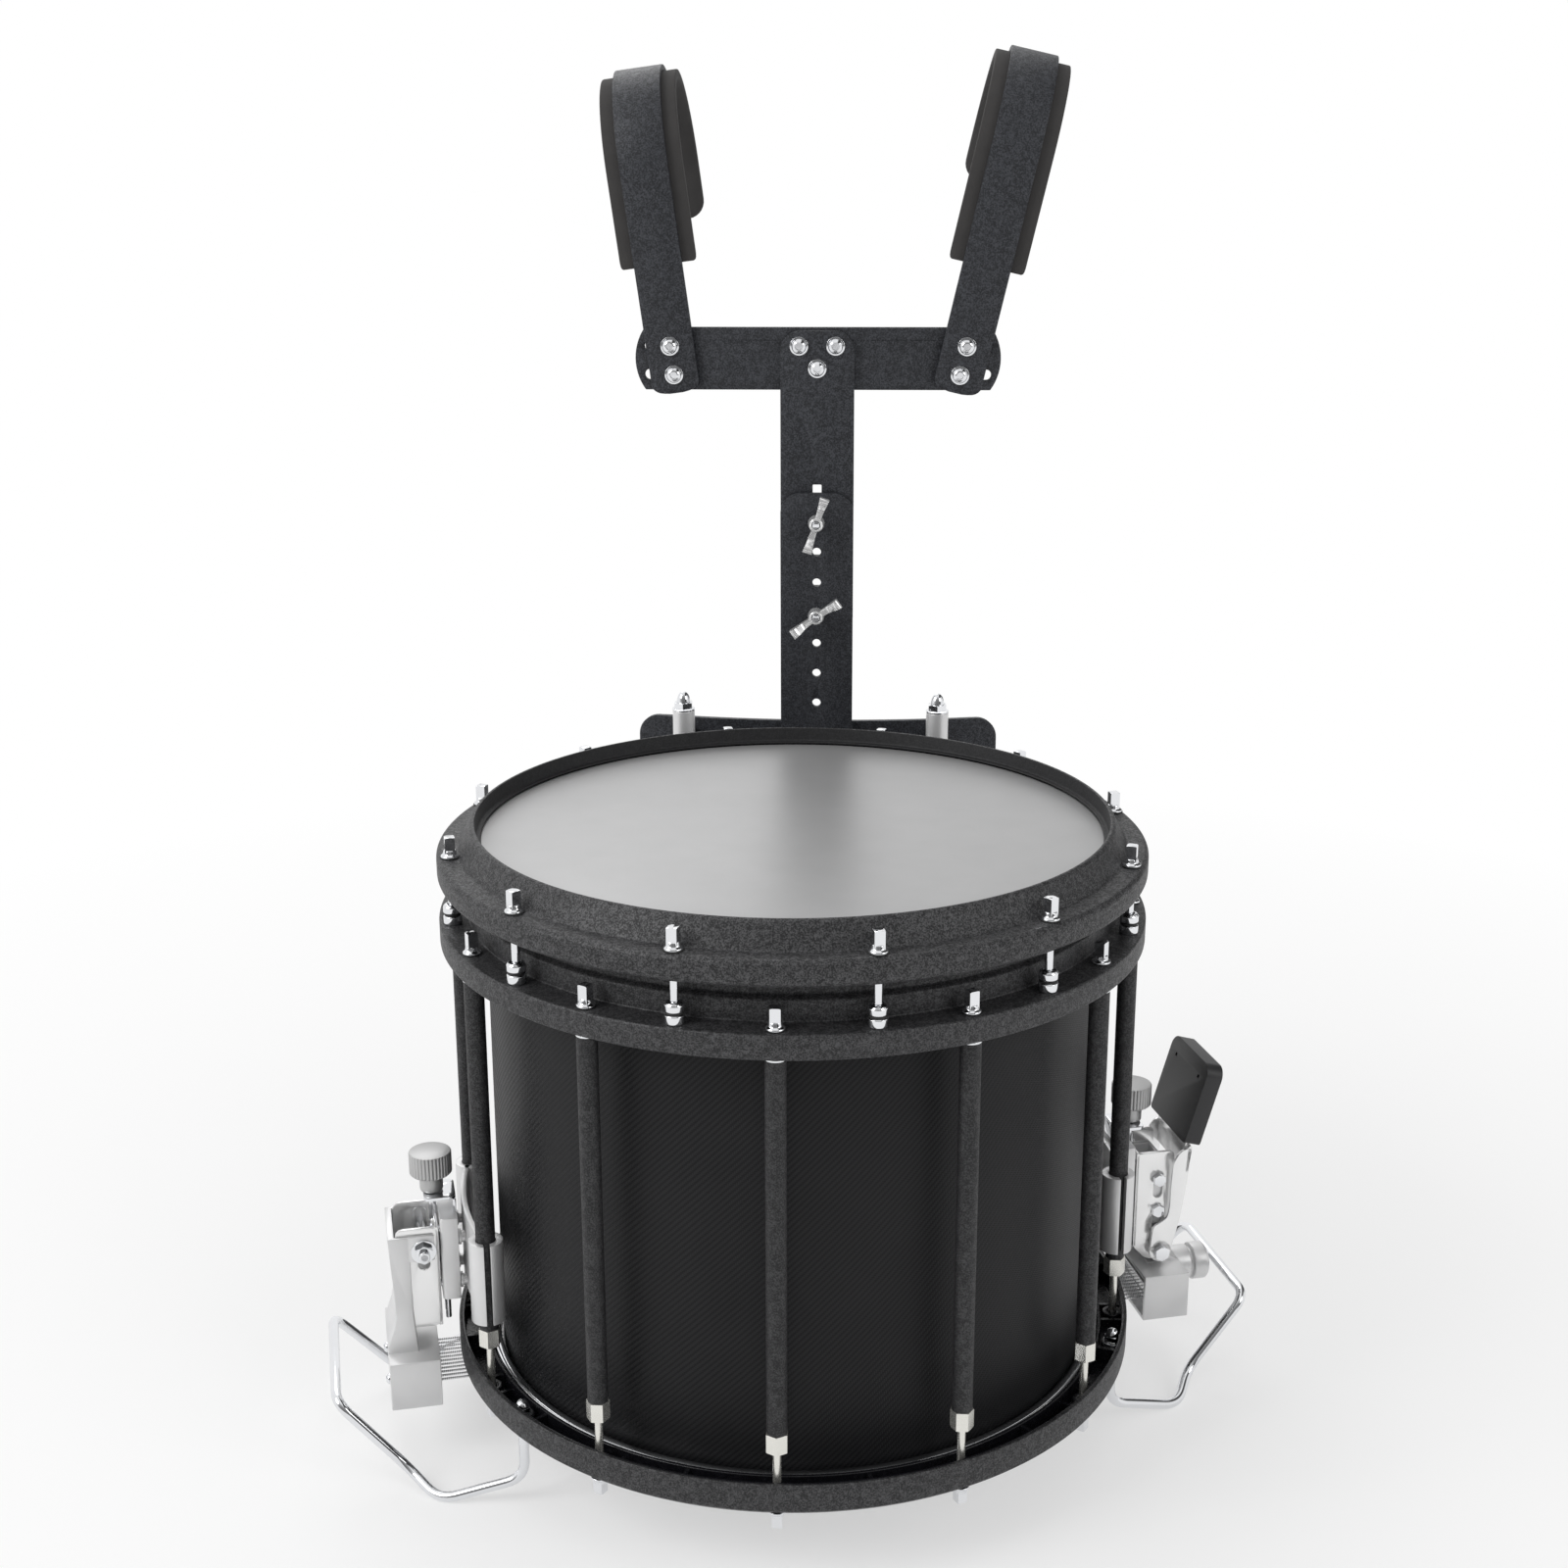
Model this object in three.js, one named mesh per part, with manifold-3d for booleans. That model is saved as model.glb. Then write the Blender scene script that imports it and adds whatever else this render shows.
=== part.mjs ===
// A marching snare drum in a free-floating frame, with the carrier that hangs it from the shoulders.
// Lengths are millimetres and +Z is up. The player stands behind the drum, on its +Y side.
// Heights start at the shell's lower edge, and directions round the drum are degrees from the front
// (-Y), positive towards +X. The finished group is moved at the end, so that its origin is at the
// middle of its footprint, on the floor.
import * as THREE from 'three';
import { mergeVertices } from 'three/addons/utils/BufferGeometryUtils.js';
import Module from 'manifold-3d';

const wasm = await Module();
wasm.setup();

// Shared values
const gap = 0.3;
const overrun = 1;
const ringSteps = 36;
const quarterTurn = Math.PI / 2;
const fullTurn = 2 * Math.PI;
const opposite = [-1, 1];

// Driving dimensions of the drum. The radii of heads and rings are reaches beyond the shell.
const shell = { radius: 177.8, wall: 6, height: 317.3, edgeBevel: 2.5 };
const film = { thickness: 0.6, collar: 1 };
const frame = { boltReach: 19, edge: 7.5, stations: 12, snareAngle: -75 };
const thread = { radius: 2.3, clearance: 0.4, sides: 6 };
const keyHead = { width: 6, height: 10.2, flangeRadius: 5.2, flangeHeight: 1.7, taperShare: 0.82 };

// Heights of the upper pieces start at the shell's upper edge
const batterHoop = {
  bandBottom: -18.3, flangeTop: -3.3, edgeRound: 2.3, inner: 7.9, skirtWall: 3.5, boltClear: 5,
  rimTop: 11.4, rimSlope: 1.3, lipReach: 1.1, lipTop: 2.8, lipWall: 2.7,
};
const rimShares = [0.353, 0.196, 0.06];
const batterHead = { hoopDrop: 2.1, hoopHeight: 9, hoopInner: 2.4, hoopOuter: 7.4, shoulder: 2.4 };
const edgeRing = {
  bandBottom: -56.6, bandTop: -42.5, edgeRound: 0.9, collarGap: 0.5, stepReach: 9.2, stepTop: -30.8,
  collarReach: 5.4, collarTop: -15.2, slope: 2.2,
};
const lugBush = { nutRadius: 5.2, nutHeight: 6.4, hexRadius: 4.8, hexHeight: 5.6 };

const snareRing = {
  bottom: -1, floor: 3.2, bandBottom: 1.7, bandTop: 18, edgeRound: 0.8, wall: 3, innerWall: 2.2,
  innerTop: 13, lipReach: 1.4, hoopGap: 0.5, bossRadius: 6, bossTop: 8, ribWall: 2.4, ribTop: 12,
};
const snareHead = { hoopBottom: 2.5, hoopTop: 11.7, hoopInner: 1.8, hoopOuter: 8.2, web: 0.8 };
const tube = { radius: 5.6, bottom: 44.7, sides: 8 };
const insert = { radius: 6.4, height: 10 };

// Driving dimensions of the strainers. A strainer's own X points out from the drum and starts at
// the frame's rim, its Y runs along the drum's side, and its Z is up.
const clamp = {
  radius: 9.8, bottom: 51.5, height: 50, slit: 3.7, sides: 12, plateWall: 3.4, plateInset: 7.7,
};
const standoff = { radius: 3.2, side: 12, low: 56.5, high: 84.5, sides: 6 };
const block = { inner: -0.7, depth: 10.4, halfWidth: 20, bottom: 48.5, height: 52, chamfer: 1.2 };
const guideRod = { radius: 1.7, side: 4.5, drop: 20, inset: 3.2 };
const tab = { bottom: 108.5, wall: 2, reach: 8, halfWidth: 12 };
const knob = {
  place: 12.5, radius: 12.4, bottom: 121.5, height: 14, edge: 1.4, collarRadius: 6.8, neckRadius: 2.2,
  ridges: 14, ridgeDepth: 0.7, screwLength: 22, travel: 3,
};
const channel = {
  inner: 10.7, outer: 35.7, wall: 2, halfWidth: 18.5, bottom: 31.5, top: 95.5, noseDrop: 5,
};
const clampBolt = { place: 19.7, height: 82, low: 68.5, high: 91.5, slot: 7 };
const bolt = {
  radius: 2.6, clearance: 0.5, washerRadius: 6.2, washer: 1.2, nutRadius: 4.6, nutHeight: 4.5,
};
const arm = {
  inner: 27.7, outer: 40.1, wall: 2.2, top: 91.5, flareHeight: 26, flareReach: 2, flareSteps: 4,
};
const box = {
  inner: 13.7, depth: 29.5, bottom: -12.5, height: 30, halfLength: 34, wall: 2.4, jawInset: 6, jawDepth: 11,
  jawHeight: 5.5, screwRadius: 2.6, screwHead: 2.4, screwSide: 18,
};
const strands = { count: 12, pitch: 4.1, height: -2.1, thickness: 1.5, sides: 4, barWidth: 5 };

// The release side: the lever swings out on its pivot, and the box with its strap drops on two pins
const pivot = {
  place: 26.9, height: 29.7, radius: 3, clearance: 0.4, headRadius: 4.6, headHeight: 4, eyeRadius: 7,
};
const strap = { inner: 21.7, outer: 33.4, wall: 2, top: 85.5, cutTop: 45.5, flareHeight: 9 };
const slidePin = { place: 25.7, high: 77.1, low: 55.9, drop: 10, headRadius: 4, headHeight: 2.6 };
const lug = { bottom: 22, start: 19.7, end: 34.2 };
const lever = {
  inner: 22.2, wall: 2, depth: 18, height: 72, webBottom: 53, tongueLength: 38, tongueHalf: 22, tongueSink: 6,
  leanAngle: 16,
};
const leverSideShares = [
  [-0.36, -0.02], [-0.34, 0.21], [0.25, 0.28], [0.27, 0.37], [0.29, 0.67], [0.33, 0.83], [0.99, 0.97],
  [0.66, 0.29], [0.36, -0.02],
];
const leverWebShares = [0.87, 0.99];
const grip = { place: 17.2, height: 73.2, length: 55, halfWidth: 29, thickness: 10.6, corner: 7, edge: 1.6 };
const tensionKnob = {
  height: 6.5, inner: 57.3, length: 10, radius: 11.8, edge: 1.6, ridges: 8, ridgeDepth: 0.5, stemRadius: 3.4,
  barrelRadius: 11, barrelEnd: 55, neckRadius: 8.5,
};

// A guard's places start at the frame's rim, apart from its two studs on the bolt circle
const guard = {
  wire: 3, sides: 6, angle: 26.5, legBottom: -31.5, footPlace: 20.4, footSide: 78.3, footHeight: -45.8,
  kneePlace: 35.8, kneeSide: 54.8, kneeHeight: -37.9, outerPlace: 72, outerSide: 48.9, outerHeight: 5.2,
  bend: 9, bendSteps: 3, bossRadius: 7, bossTop: 10, nutRadius: 4.1, nutHeight: 4.2, domeRadius: 3.8,
  domeHeight: 4.4,
};

// Driving dimensions of the carrier. Its own frame starts on its middle line, at the front face of
// its bars and the lower face of the edge ring.
const carrier = {
  middle: 6.3, reach: 33.7, plate: 4, boltRadius: 3, boltClearance: 0.4, headRadius: 5.6, headHeight: 3.2,
};
const crossBar = {
  length: 240, height: 40.5, bottom: 281.3, endBow: 6.5, slotInset: 22, slotEnd: 12.5, highInset: 12,
  lowInset: 10,
};
const spine = {
  width: 48.6, corner: 13, topInset: 2, footInset: 10, holeStart: 100, holePitch: 20.8, holes: 7,
  holeRadius: 2.9, lowerMargin: 18.7, upperMargin: 10.8, square: 6, squares: 5, firstSquare: 3,
};
const wing = {
  holes: [3, 6], turns: [-35, -72], names: ['lower', 'upper'], hubRadius: 5.6, hubTopRadius: 4.2, hubHeight: 9,
  span: 19.5, height: 14.5, thickness: 4.8, shankRadius: 2.4, shankEnd: 1.6,
};
const wingShares = [
  [0.1, 0], [0.6, 0.27], [0.92, 0.46], [1, 0.72], [0.95, 1], [0.75, 1], [0.55, 0.53], [0.1, 0.5],
];
const shoulder = {
  width: 31.5, shift: -2.5, footDrop: 2, arcSteps: 13, bendRadius: 63.5, footCorner: 7,
  leftRise: 142.5, leftTail: 28, rightRise: 155.5, rightTail: 15,
};
const footShares = [[0, 0.32], [0.14, 0.7], [0.43, 0.9]];
const shoulderSides = [
  { name: 'left', side: -1, leanAngle: -7.6, rise: shoulder.leftRise, tail: shoulder.leftTail },
  { name: 'right', side: 1, leanAngle: 12.9, rise: shoulder.rightRise, tail: shoulder.rightTail },
];
const shoulderPad = {
  width: 50, thickness: 9.5, start: 82.5, overhang: 8, across: 4, endLength: 6, crownShare: 0.45, crownPower: 4,
  endShare: 0.5, endWidthShare: 0.86,
};
const belly = {
  radius: 528, halfWidth: 125, bottom: -39.2, height: 96, corner: 14, steps: 4, padWall: 11, padInset: 3,
};
const hook = {
  shift: -3.3, tubeClear: 13.4, inset: 28, reach: 43, radius: 4, bend: 8, bendSteps: 3, sleeveRadius: 7.4,
  sleeveDrop: 29, sleeveRise: 15.7, webHalf: 4, nutRadius: 6.6, nutHeight: 5, domeHeight: 7.5, sides: 10,
};

// Finishes, each mesh gets its own copy
const finishes = {
  crinkle: { color: 0x2b2c2e, roughness: 0.62, metalness: 0.35 },
  carbon: { color: 0x141416, roughness: 0.34, metalness: 0.2 },
  glossBlack: { color: 0x0c0d0f, roughness: 0.22, metalness: 0.3 },
  silverFilm: { color: 0xb4b4b6, roughness: 0.42, metalness: 0.25 },
  chrome: { color: 0xdfe1e4, roughness: 0.12, metalness: 1 },
  satin: { color: 0xc9cacc, roughness: 0.38, metalness: 0.9 },
  wireSteel: { color: 0xd2d2d4, roughness: 0.25, metalness: 1 },
  foam: { color: 0x3a3a3d, roughness: 0.95, metalness: 0 },
  blackPlastic: { color: 0x17171a, roughness: 0.5, metalness: 0 },
};

// A closed geometry as a solid that can be joined and cut
function solidOf(geometry) {
  const plain = geometry.index ? geometry.toNonIndexed() : geometry.clone();
  const bare = new THREE.BufferGeometry().setAttribute('position', plain.getAttribute('position'));
  const merged = mergeVertices(bare, 1e-4);
  const source = merged.index.array;
  const kept = [];
  for (let i = 0; i < source.length; i += 3) {
    const [a, b, c] = [source[i], source[i + 1], source[i + 2]];
    if (a !== b && b !== c && c !== a) kept.push(a, b, c);
  }
  const build = (corners) => new wasm.Manifold(new wasm.Mesh({
    numProp: 3,
    vertProperties: merged.attributes.position.array,
    triVerts: new Uint32Array(corners),
  }));
  const made = build(kept);
  if (made.volume() > 0) return made;
  const turned = [];
  for (let i = 0; i < kept.length; i += 3) turned.push(kept[i], kept[i + 2], kept[i + 1]);
  return build(turned);
}

function geometryOf(solid) {
  const { numProp, numVert, vertProperties, triVerts } = solid.getMesh();
  const places = new Float32Array(numVert * 3);
  for (let i = 0; i < numVert; i++) {
    places.set(vertProperties.subarray(i * numProp, i * numProp + 3), i * 3);
  }
  const geometry = new THREE.BufferGeometry();
  geometry.setAttribute('position', new THREE.BufferAttribute(places, 3));
  geometry.setIndex(new THREE.BufferAttribute(new Uint32Array(triVerts), 1));
  const faceted = geometry.toNonIndexed();
  faceted.computeVertexNormals();
  return faceted;
}

const join = (...geometries) => geometries.map(solidOf).reduce((whole, next) => whole.add(next));
const cut = (solid, ...geometries) => geometries.map(solidOf).reduce((rest, next) => rest.subtract(next), solid);

function addPiece(parent, name, solid, finish) {
  const mesh = new THREE.Mesh(geometryOf(solid), new THREE.MeshStandardMaterial(finishes[finish]));
  mesh.name = name;
  parent.add(mesh);
  return mesh;
}

// Places round the drum
const beyondShell = (reach) => shell.radius + reach;
const boltRadius = beyondShell(frame.boltReach);
const rimRadius = boltRadius + frame.edge;
const radians = THREE.MathUtils.degToRad;
const stationStep = 360 / frame.stations;
const twoDigits = (index) => String(index + 1).padStart(2, '0');
const onCircle = (radius, angle) => [radius * Math.sin(radians(angle)), -radius * Math.cos(radians(angle))];

// Basic forms, all standing on Z
function post(bottomRadius, topRadius, bottom, top, sides) {
  return new THREE.CylinderGeometry(topRadius, bottomRadius, top - bottom, sides)
    .rotateX(quarterTurn).translate(0, 0, (top + bottom) / 2);
}

const pillar = (radius, bottom, top, sides) => post(radius, radius, bottom, top, sides);

function turned(profile, steps) {
  const points = profile.map(([radius, height]) => new THREE.Vector2(radius, height));
  return new THREE.LatheGeometry(points, steps).rotateX(quarterTurn);
}

const turnedRing = (profile, steps) => turned([...profile, profile[0]], steps);

function slab(lowX, highX, lowY, highY, lowZ, highZ) {
  return new THREE.BoxGeometry(highX - lowX, highY - lowY, highZ - lowZ)
    .translate((lowX + highX) / 2, (lowY + highY) / 2, (lowZ + highZ) / 2);
}

function outline(points) {
  return new THREE.Shape(points.map(([x, y]) => new THREE.Vector2(x, y)));
}

function roundedOutline(halfWidth, low, high, lowCorner, highCorner) {
  const shape = new THREE.Shape();
  shape.absarc(halfWidth - lowCorner, low + lowCorner, lowCorner, -quarterTurn, 0);
  shape.absarc(halfWidth - highCorner, high - highCorner, highCorner, 0, quarterTurn);
  shape.absarc(highCorner - halfWidth, high - highCorner, highCorner, quarterTurn, 2 * quarterTurn);
  shape.absarc(lowCorner - halfWidth, low + lowCorner, lowCorner, 2 * quarterTurn, 3 * quarterTurn);
  return shape;
}

function extruded(shape, depth, curveSegments) {
  return new THREE.ExtrudeGeometry(shape, { depth, bevelEnabled: false, curveSegments });
}

// A flat outline in X and Z, standing with its front face at front and its back face behind it
const standing = (shape, front, depth, curveSegments = 5) =>
  extruded(shape, depth, curveSegments).rotateX(quarterTurn).translate(0, front + depth, 0);

// A side view drawn in X and Z, from side low to side high along Y
const sideways = (shape, low, high) =>
  extruded(shape, high - low, 5).rotateX(quarterTurn).translate(0, high, 0);

// A post that lies along Y, from low to high
const lying = (radius, low, high, sides) =>
  new THREE.CylinderGeometry(radius, radius, high - low, sides).translate(0, (low + high) / 2, 0);

// A path of straight runs with rounded bends, cut into steps where it bends
class BentPath extends THREE.Curve {
  constructor(places, bend, bendSteps) {
    super();
    const points = places.map(([x, y, z]) => new THREE.Vector3(x, y, z));
    const last = points.length - 1;
    this.stops = [points[0]];
    for (let i = 1; i < last; i++) {
      const [before, after] = [points[i - 1], points[i + 1]].map((next) =>
        points[i].clone().lerp(next, bend / points[i].distanceTo(next)));
      this.stops.push(...new THREE.QuadraticBezierCurve3(before, points[i], after).getPoints(bendSteps));
    }
    this.stops.push(points[last]);
  }

  getPoint(share, target = new THREE.Vector3()) {
    const place = share * (this.stops.length - 1);
    const index = Math.min(Math.floor(place), this.stops.length - 2);
    return target.lerpVectors(this.stops[index], this.stops[index + 1], place - index);
  }

  getUtoTmapping(share) {
    return share;
  }
}

function roundSection(radius, sides) {
  const corners = [];
  for (let i = 0; i < sides; i++) {
    const turn = (fullTurn * i) / sides;
    corners.push([radius * Math.cos(turn), radius * Math.sin(turn)]);
  }
  return outline(corners);
}

function wireAlong(places, bend, bendSteps, radius, sides) {
  const path = new BentPath(places, bend, bendSteps);
  const steps = path.stops.length - 1;
  const settings = { extrudePath: path, steps, bevelEnabled: false };
  return new THREE.ExtrudeGeometry(roundSection(radius, sides), settings);
}

// A square key head. It stands up from seat on a round flange, or hangs down from it.
function keyHeadForms(seat, direction) {
  const flangeEnd = seat + direction * keyHead.flangeHeight;
  const end = seat + direction * (keyHead.flangeHeight + keyHead.height);
  const low = Math.min(seat, flangeEnd);
  const high = Math.max(seat, flangeEnd);
  const corner = keyHead.width / Math.SQRT2;
  const squareLow = Math.min(flangeEnd, end);
  const squareHigh = direction > 0 ? end : seat;
  const tip = corner * keyHead.taperShare;
  const square = direction > 0
    ? post(corner, tip, squareLow - gap, squareHigh, 4)
    : post(tip, corner, squareLow, squareHigh, 4);
  return direction > 0 ? [pillar(keyHead.flangeRadius, low, high, 8), square] : [square];
}

const drum = new THREE.Group();
const upper = new THREE.Group();
upper.position.z = shell.height;
drum.add(upper);
const holeRadius = (thread.radius + thread.clearance) / Math.cos(Math.PI / thread.sides);

// An upright hole for a rod, at a direction on the bolt circle
function rodHole(angle, low, high) {
  const [x, y] = onCircle(boltRadius, angle);
  return pillar(holeRadius, low - overrun, high + overrun, thread.sides).translate(x, y, 0);
}

// Shell, with its two bearing edges bevelled to the outside
const shellInner = shell.radius - shell.wall;
const shellEdge = shell.radius - shell.edgeBevel;
addPiece(drum, 'shell', solidOf(turnedRing([
  [shellInner, 0], [shellEdge, 0], [shell.radius, shell.edgeBevel],
  [shell.radius, shell.height - shell.edgeBevel], [shellEdge, shell.height], [shellInner, shell.height],
], ringSteps)), 'carbon');

// Batter head: film over the bearing edge, and the hoop that pulls it down
const filmTop = gap + film.thickness;
const headHoopTop = filmTop - batterHead.hoopDrop;
const headHoopBottom = headHoopTop - batterHead.hoopHeight;
const headInner = beyondShell(batterHead.hoopInner);
const headOuter = beyondShell(batterHead.hoopOuter);
const filmCollar = beyondShell(film.collar);
addPiece(upper, 'batter_head', solidOf(turned([
  [0, gap], [filmCollar, gap], [headInner, headHoopTop - batterHead.shoulder], [headInner, headHoopBottom],
  [headOuter, headHoopBottom], [headOuter, headHoopTop], [filmCollar, filmTop], [0, filmTop],
], ringSteps)), 'silverFilm');

// Batter hoop: a deep flange with the rod holes, and a sloped collar up to the rim
const bandRadius = rimRadius - batterHoop.edgeRound;
const hoopInner = beyondShell(batterHoop.inner);
const skirtRadius = hoopInner + batterHoop.skirtWall;
const skirtTop = batterHoop.bandBottom + batterHoop.skirtWall;
const lipInner = beyondShell(batterHoop.lipReach);
const lipOuter = lipInner + batterHoop.lipWall;
const lipUnder = filmTop + 2 * gap;
const collarFoot = boltRadius - batterHoop.boltClear;
const [rimFoot, rimOuter, rimInner] = rimShares.map((share) => lipOuter + share * (collarFoot - lipOuter));
let hoopSolid = solidOf(turnedRing([
  [hoopInner, skirtTop], [skirtRadius, skirtTop], [skirtRadius, batterHoop.bandBottom],
  [bandRadius, batterHoop.bandBottom], [rimRadius, batterHoop.bandBottom + batterHoop.edgeRound],
  [rimRadius, batterHoop.flangeTop - batterHoop.edgeRound], [bandRadius, batterHoop.flangeTop],
  [collarFoot, batterHoop.flangeTop], [rimFoot, batterHoop.rimTop - batterHoop.rimSlope],
  [rimOuter, batterHoop.rimTop], [rimInner, batterHoop.rimTop],
  [lipOuter, batterHoop.lipTop], [lipInner, batterHoop.lipTop], [lipInner, lipUnder], [hoopInner, lipUnder],
], ringSteps));
const batterAngle = (index) => stationStep * (index + 0.5);
const tubeAngle = (index) => stationStep * index;
for (let i = 0; i < frame.stations; i++) {
  hoopSolid = cut(hoopSolid, rodHole(batterAngle(i), batterHoop.bandBottom, batterHoop.flangeTop));
}
addPiece(upper, 'batter_hoop', hoopSolid, 'crinkle');

// Edge ring, with a bush that takes each batter rod
const nutTop = edgeRing.bandTop + lugBush.nutHeight;
const hexTop = nutTop + lugBush.hexHeight;
const ringInner = beyondShell(edgeRing.collarGap);
const ringEdge = rimRadius - edgeRing.edgeRound;
const ringCollar = beyondShell(edgeRing.collarReach);
let edgeSolid = solidOf(turnedRing([
  [ringInner, edgeRing.bandBottom], [ringEdge, edgeRing.bandBottom],
  [rimRadius, edgeRing.bandBottom + edgeRing.edgeRound], [rimRadius, edgeRing.bandTop - edgeRing.edgeRound],
  [ringEdge, edgeRing.bandTop], [beyondShell(edgeRing.stepReach), edgeRing.bandTop],
  [beyondShell(edgeRing.stepReach), edgeRing.stepTop], [ringCollar, edgeRing.stepTop + edgeRing.slope],
  [ringCollar, edgeRing.collarTop], [ringInner, edgeRing.collarTop],
], ringSteps));
for (let i = 0; i < frame.stations; i++) {
  const [x, y] = onCircle(boltRadius, batterAngle(i));
  const bush = join(
    pillar(lugBush.nutRadius, edgeRing.bandTop - gap, nutTop, 8),
    pillar(lugBush.hexRadius, nutTop - gap, hexTop, 6),
  );
  edgeSolid = edgeSolid.add(solidOf(geometryOf(bush).translate(x, y, 0)));
  edgeSolid = cut(edgeSolid, rodHole(batterAngle(i), edgeRing.bandBottom, hexTop));
  edgeSolid = cut(edgeSolid, rodHole(tubeAngle(i), edgeRing.bandBottom, edgeRing.bandTop));
}
addPiece(upper, 'edge_ring', edgeSolid, 'crinkle');

// Snare-side head: the film turns up round the shell to its metal hoop
const turnUp = shell.radius + gap;
const lowFilmBottom = -gap - film.thickness;
const lowHoopInner = beyondShell(snareHead.hoopInner);
const lowHoopOuter = beyondShell(snareHead.hoopOuter);
addPiece(drum, 'snare_side_head', solidOf(turned([
  [0, lowFilmBottom], [turnUp + film.thickness, lowFilmBottom], [turnUp + film.thickness, snareHead.hoopBottom],
  [lowHoopOuter, snareHead.hoopBottom], [lowHoopOuter, snareHead.hoopTop], [lowHoopInner, snareHead.hoopTop],
  [lowHoopInner, snareHead.hoopBottom + snareHead.web], [turnUp, snareHead.hoopBottom + snareHead.web],
  [turnUp, -gap], [0, -gap],
], ringSteps)), 'chrome');

// Snare-side ring: an open gutter with a boss for every rod and ribs between them
const ringFloor = snareRing.bottom + snareRing.floor;
const gutterOuter = rimRadius - snareRing.wall;
const wallInner = lowHoopOuter + snareRing.hoopGap;
const gutterInner = wallInner + snareRing.innerWall;
const lowerLip = beyondShell(snareRing.lipReach);
let ringSolid = solidOf(turnedRing([
  [lowerLip, snareRing.bottom], [gutterOuter, snareRing.bottom], [rimRadius, snareRing.bandBottom],
  [rimRadius, snareRing.bandTop - snareRing.edgeRound], [rimRadius - snareRing.edgeRound, snareRing.bandTop],
  [gutterOuter, snareRing.bandTop], [gutterOuter, ringFloor], [gutterInner, ringFloor],
  [gutterInner, snareRing.innerTop], [wallInner, snareRing.innerTop], [wallInner, ringFloor - gap / 2],
  [lowerLip, ringFloor - gap / 2],
], ringSteps));
const ribReach = (snareRing.wall + snareRing.innerWall) / 2;
const bosses = [];
for (const turn of [0, 180]) {
  for (const half of opposite) {
    bosses.push([frame.snareAngle + turn + half * guard.angle, guard.bossRadius, guard.bossTop]);
  }
}
for (let i = 0; i < frame.stations; i++) {
  bosses.push([tubeAngle(i), snareRing.bossRadius, snareRing.bossTop]);
  const rib = slab(gutterInner - overrun, gutterOuter + overrun, -snareRing.ribWall / 2, snareRing.ribWall / 2,
    ringFloor - ribReach, snareRing.ribTop).rotateZ(radians(batterAngle(i)) - quarterTurn);
  ringSolid = ringSolid.add(solidOf(rib));
}
for (const [angle, radius, top] of bosses) {
  const [x, y] = onCircle(boltRadius, angle);
  ringSolid = ringSolid.add(solidOf(pillar(radius, ringFloor - ribReach, top, 6).translate(x, y, 0)));
  ringSolid = cut(ringSolid, rodHole(angle, snareRing.bottom, top));
}
addPiece(drum, 'snare_ring', ringSolid, 'glossBlack');

// Batter rods: they pull the hoop down to the bushes
for (let i = 0; i < frame.stations; i++) {
  const [x, y] = onCircle(boltRadius, batterAngle(i));
  const rod = join(
    ...keyHeadForms(batterHoop.flangeTop + gap, 1),
    pillar(thread.radius, edgeRing.bandBottom + edgeRing.edgeRound, batterHoop.flangeTop + keyHead.flangeHeight,
      thread.sides),
  );
  addPiece(upper, 'batter_rod_' + twoDigits(i), rod, 'chrome').position.set(x, y, 0);
}

// Long tubes, each with its frame bolt above, its insert below and the lower rod in it
const ringUnder = shell.height + edgeRing.bandBottom;
const tubeTop = ringUnder - gap;
const frameBoltSeat = shell.height + edgeRing.bandTop + gap;
const lowerSeat = snareRing.bottom - gap;
for (let i = 0; i < frame.stations; i++) {
  const [x, y] = onCircle(boltRadius, tubeAngle(i));
  const column = join(
    ...keyHeadForms(frameBoltSeat, 1),
    pillar(thread.radius, tubeTop - overrun, frameBoltSeat + keyHead.flangeHeight, thread.sides),
    pillar(tube.radius, tube.bottom, tubeTop, tube.sides),
    pillar(insert.radius, tube.bottom - insert.height, tube.bottom + gap, 6),
    pillar(thread.radius, lowerSeat - overrun, tube.bottom - insert.height + overrun, thread.sides),
    ...keyHeadForms(lowerSeat, -1),
  );
  addPiece(drum, 'lug_tube_' + twoDigits(i), column, 'crinkle').position.set(x, y, 0);
}

// Strainers, one on each end of the snares. Both are drawn in the strainer's own frame.
const tubeSide = boltRadius * Math.sin(radians(stationStep / 2));
const tubePlace = boltRadius * Math.cos(radians(stationStep / 2)) - rimRadius;
const clampTop = clamp.bottom + clamp.height;

function strainerGroup(angle) {
  const group = new THREE.Group();
  group.rotation.z = radians(angle) - quarterTurn;
  const [x, y] = onCircle(rimRadius, angle);
  group.position.set(x, y, 0);
  drum.add(group);
  return group;
}

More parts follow.
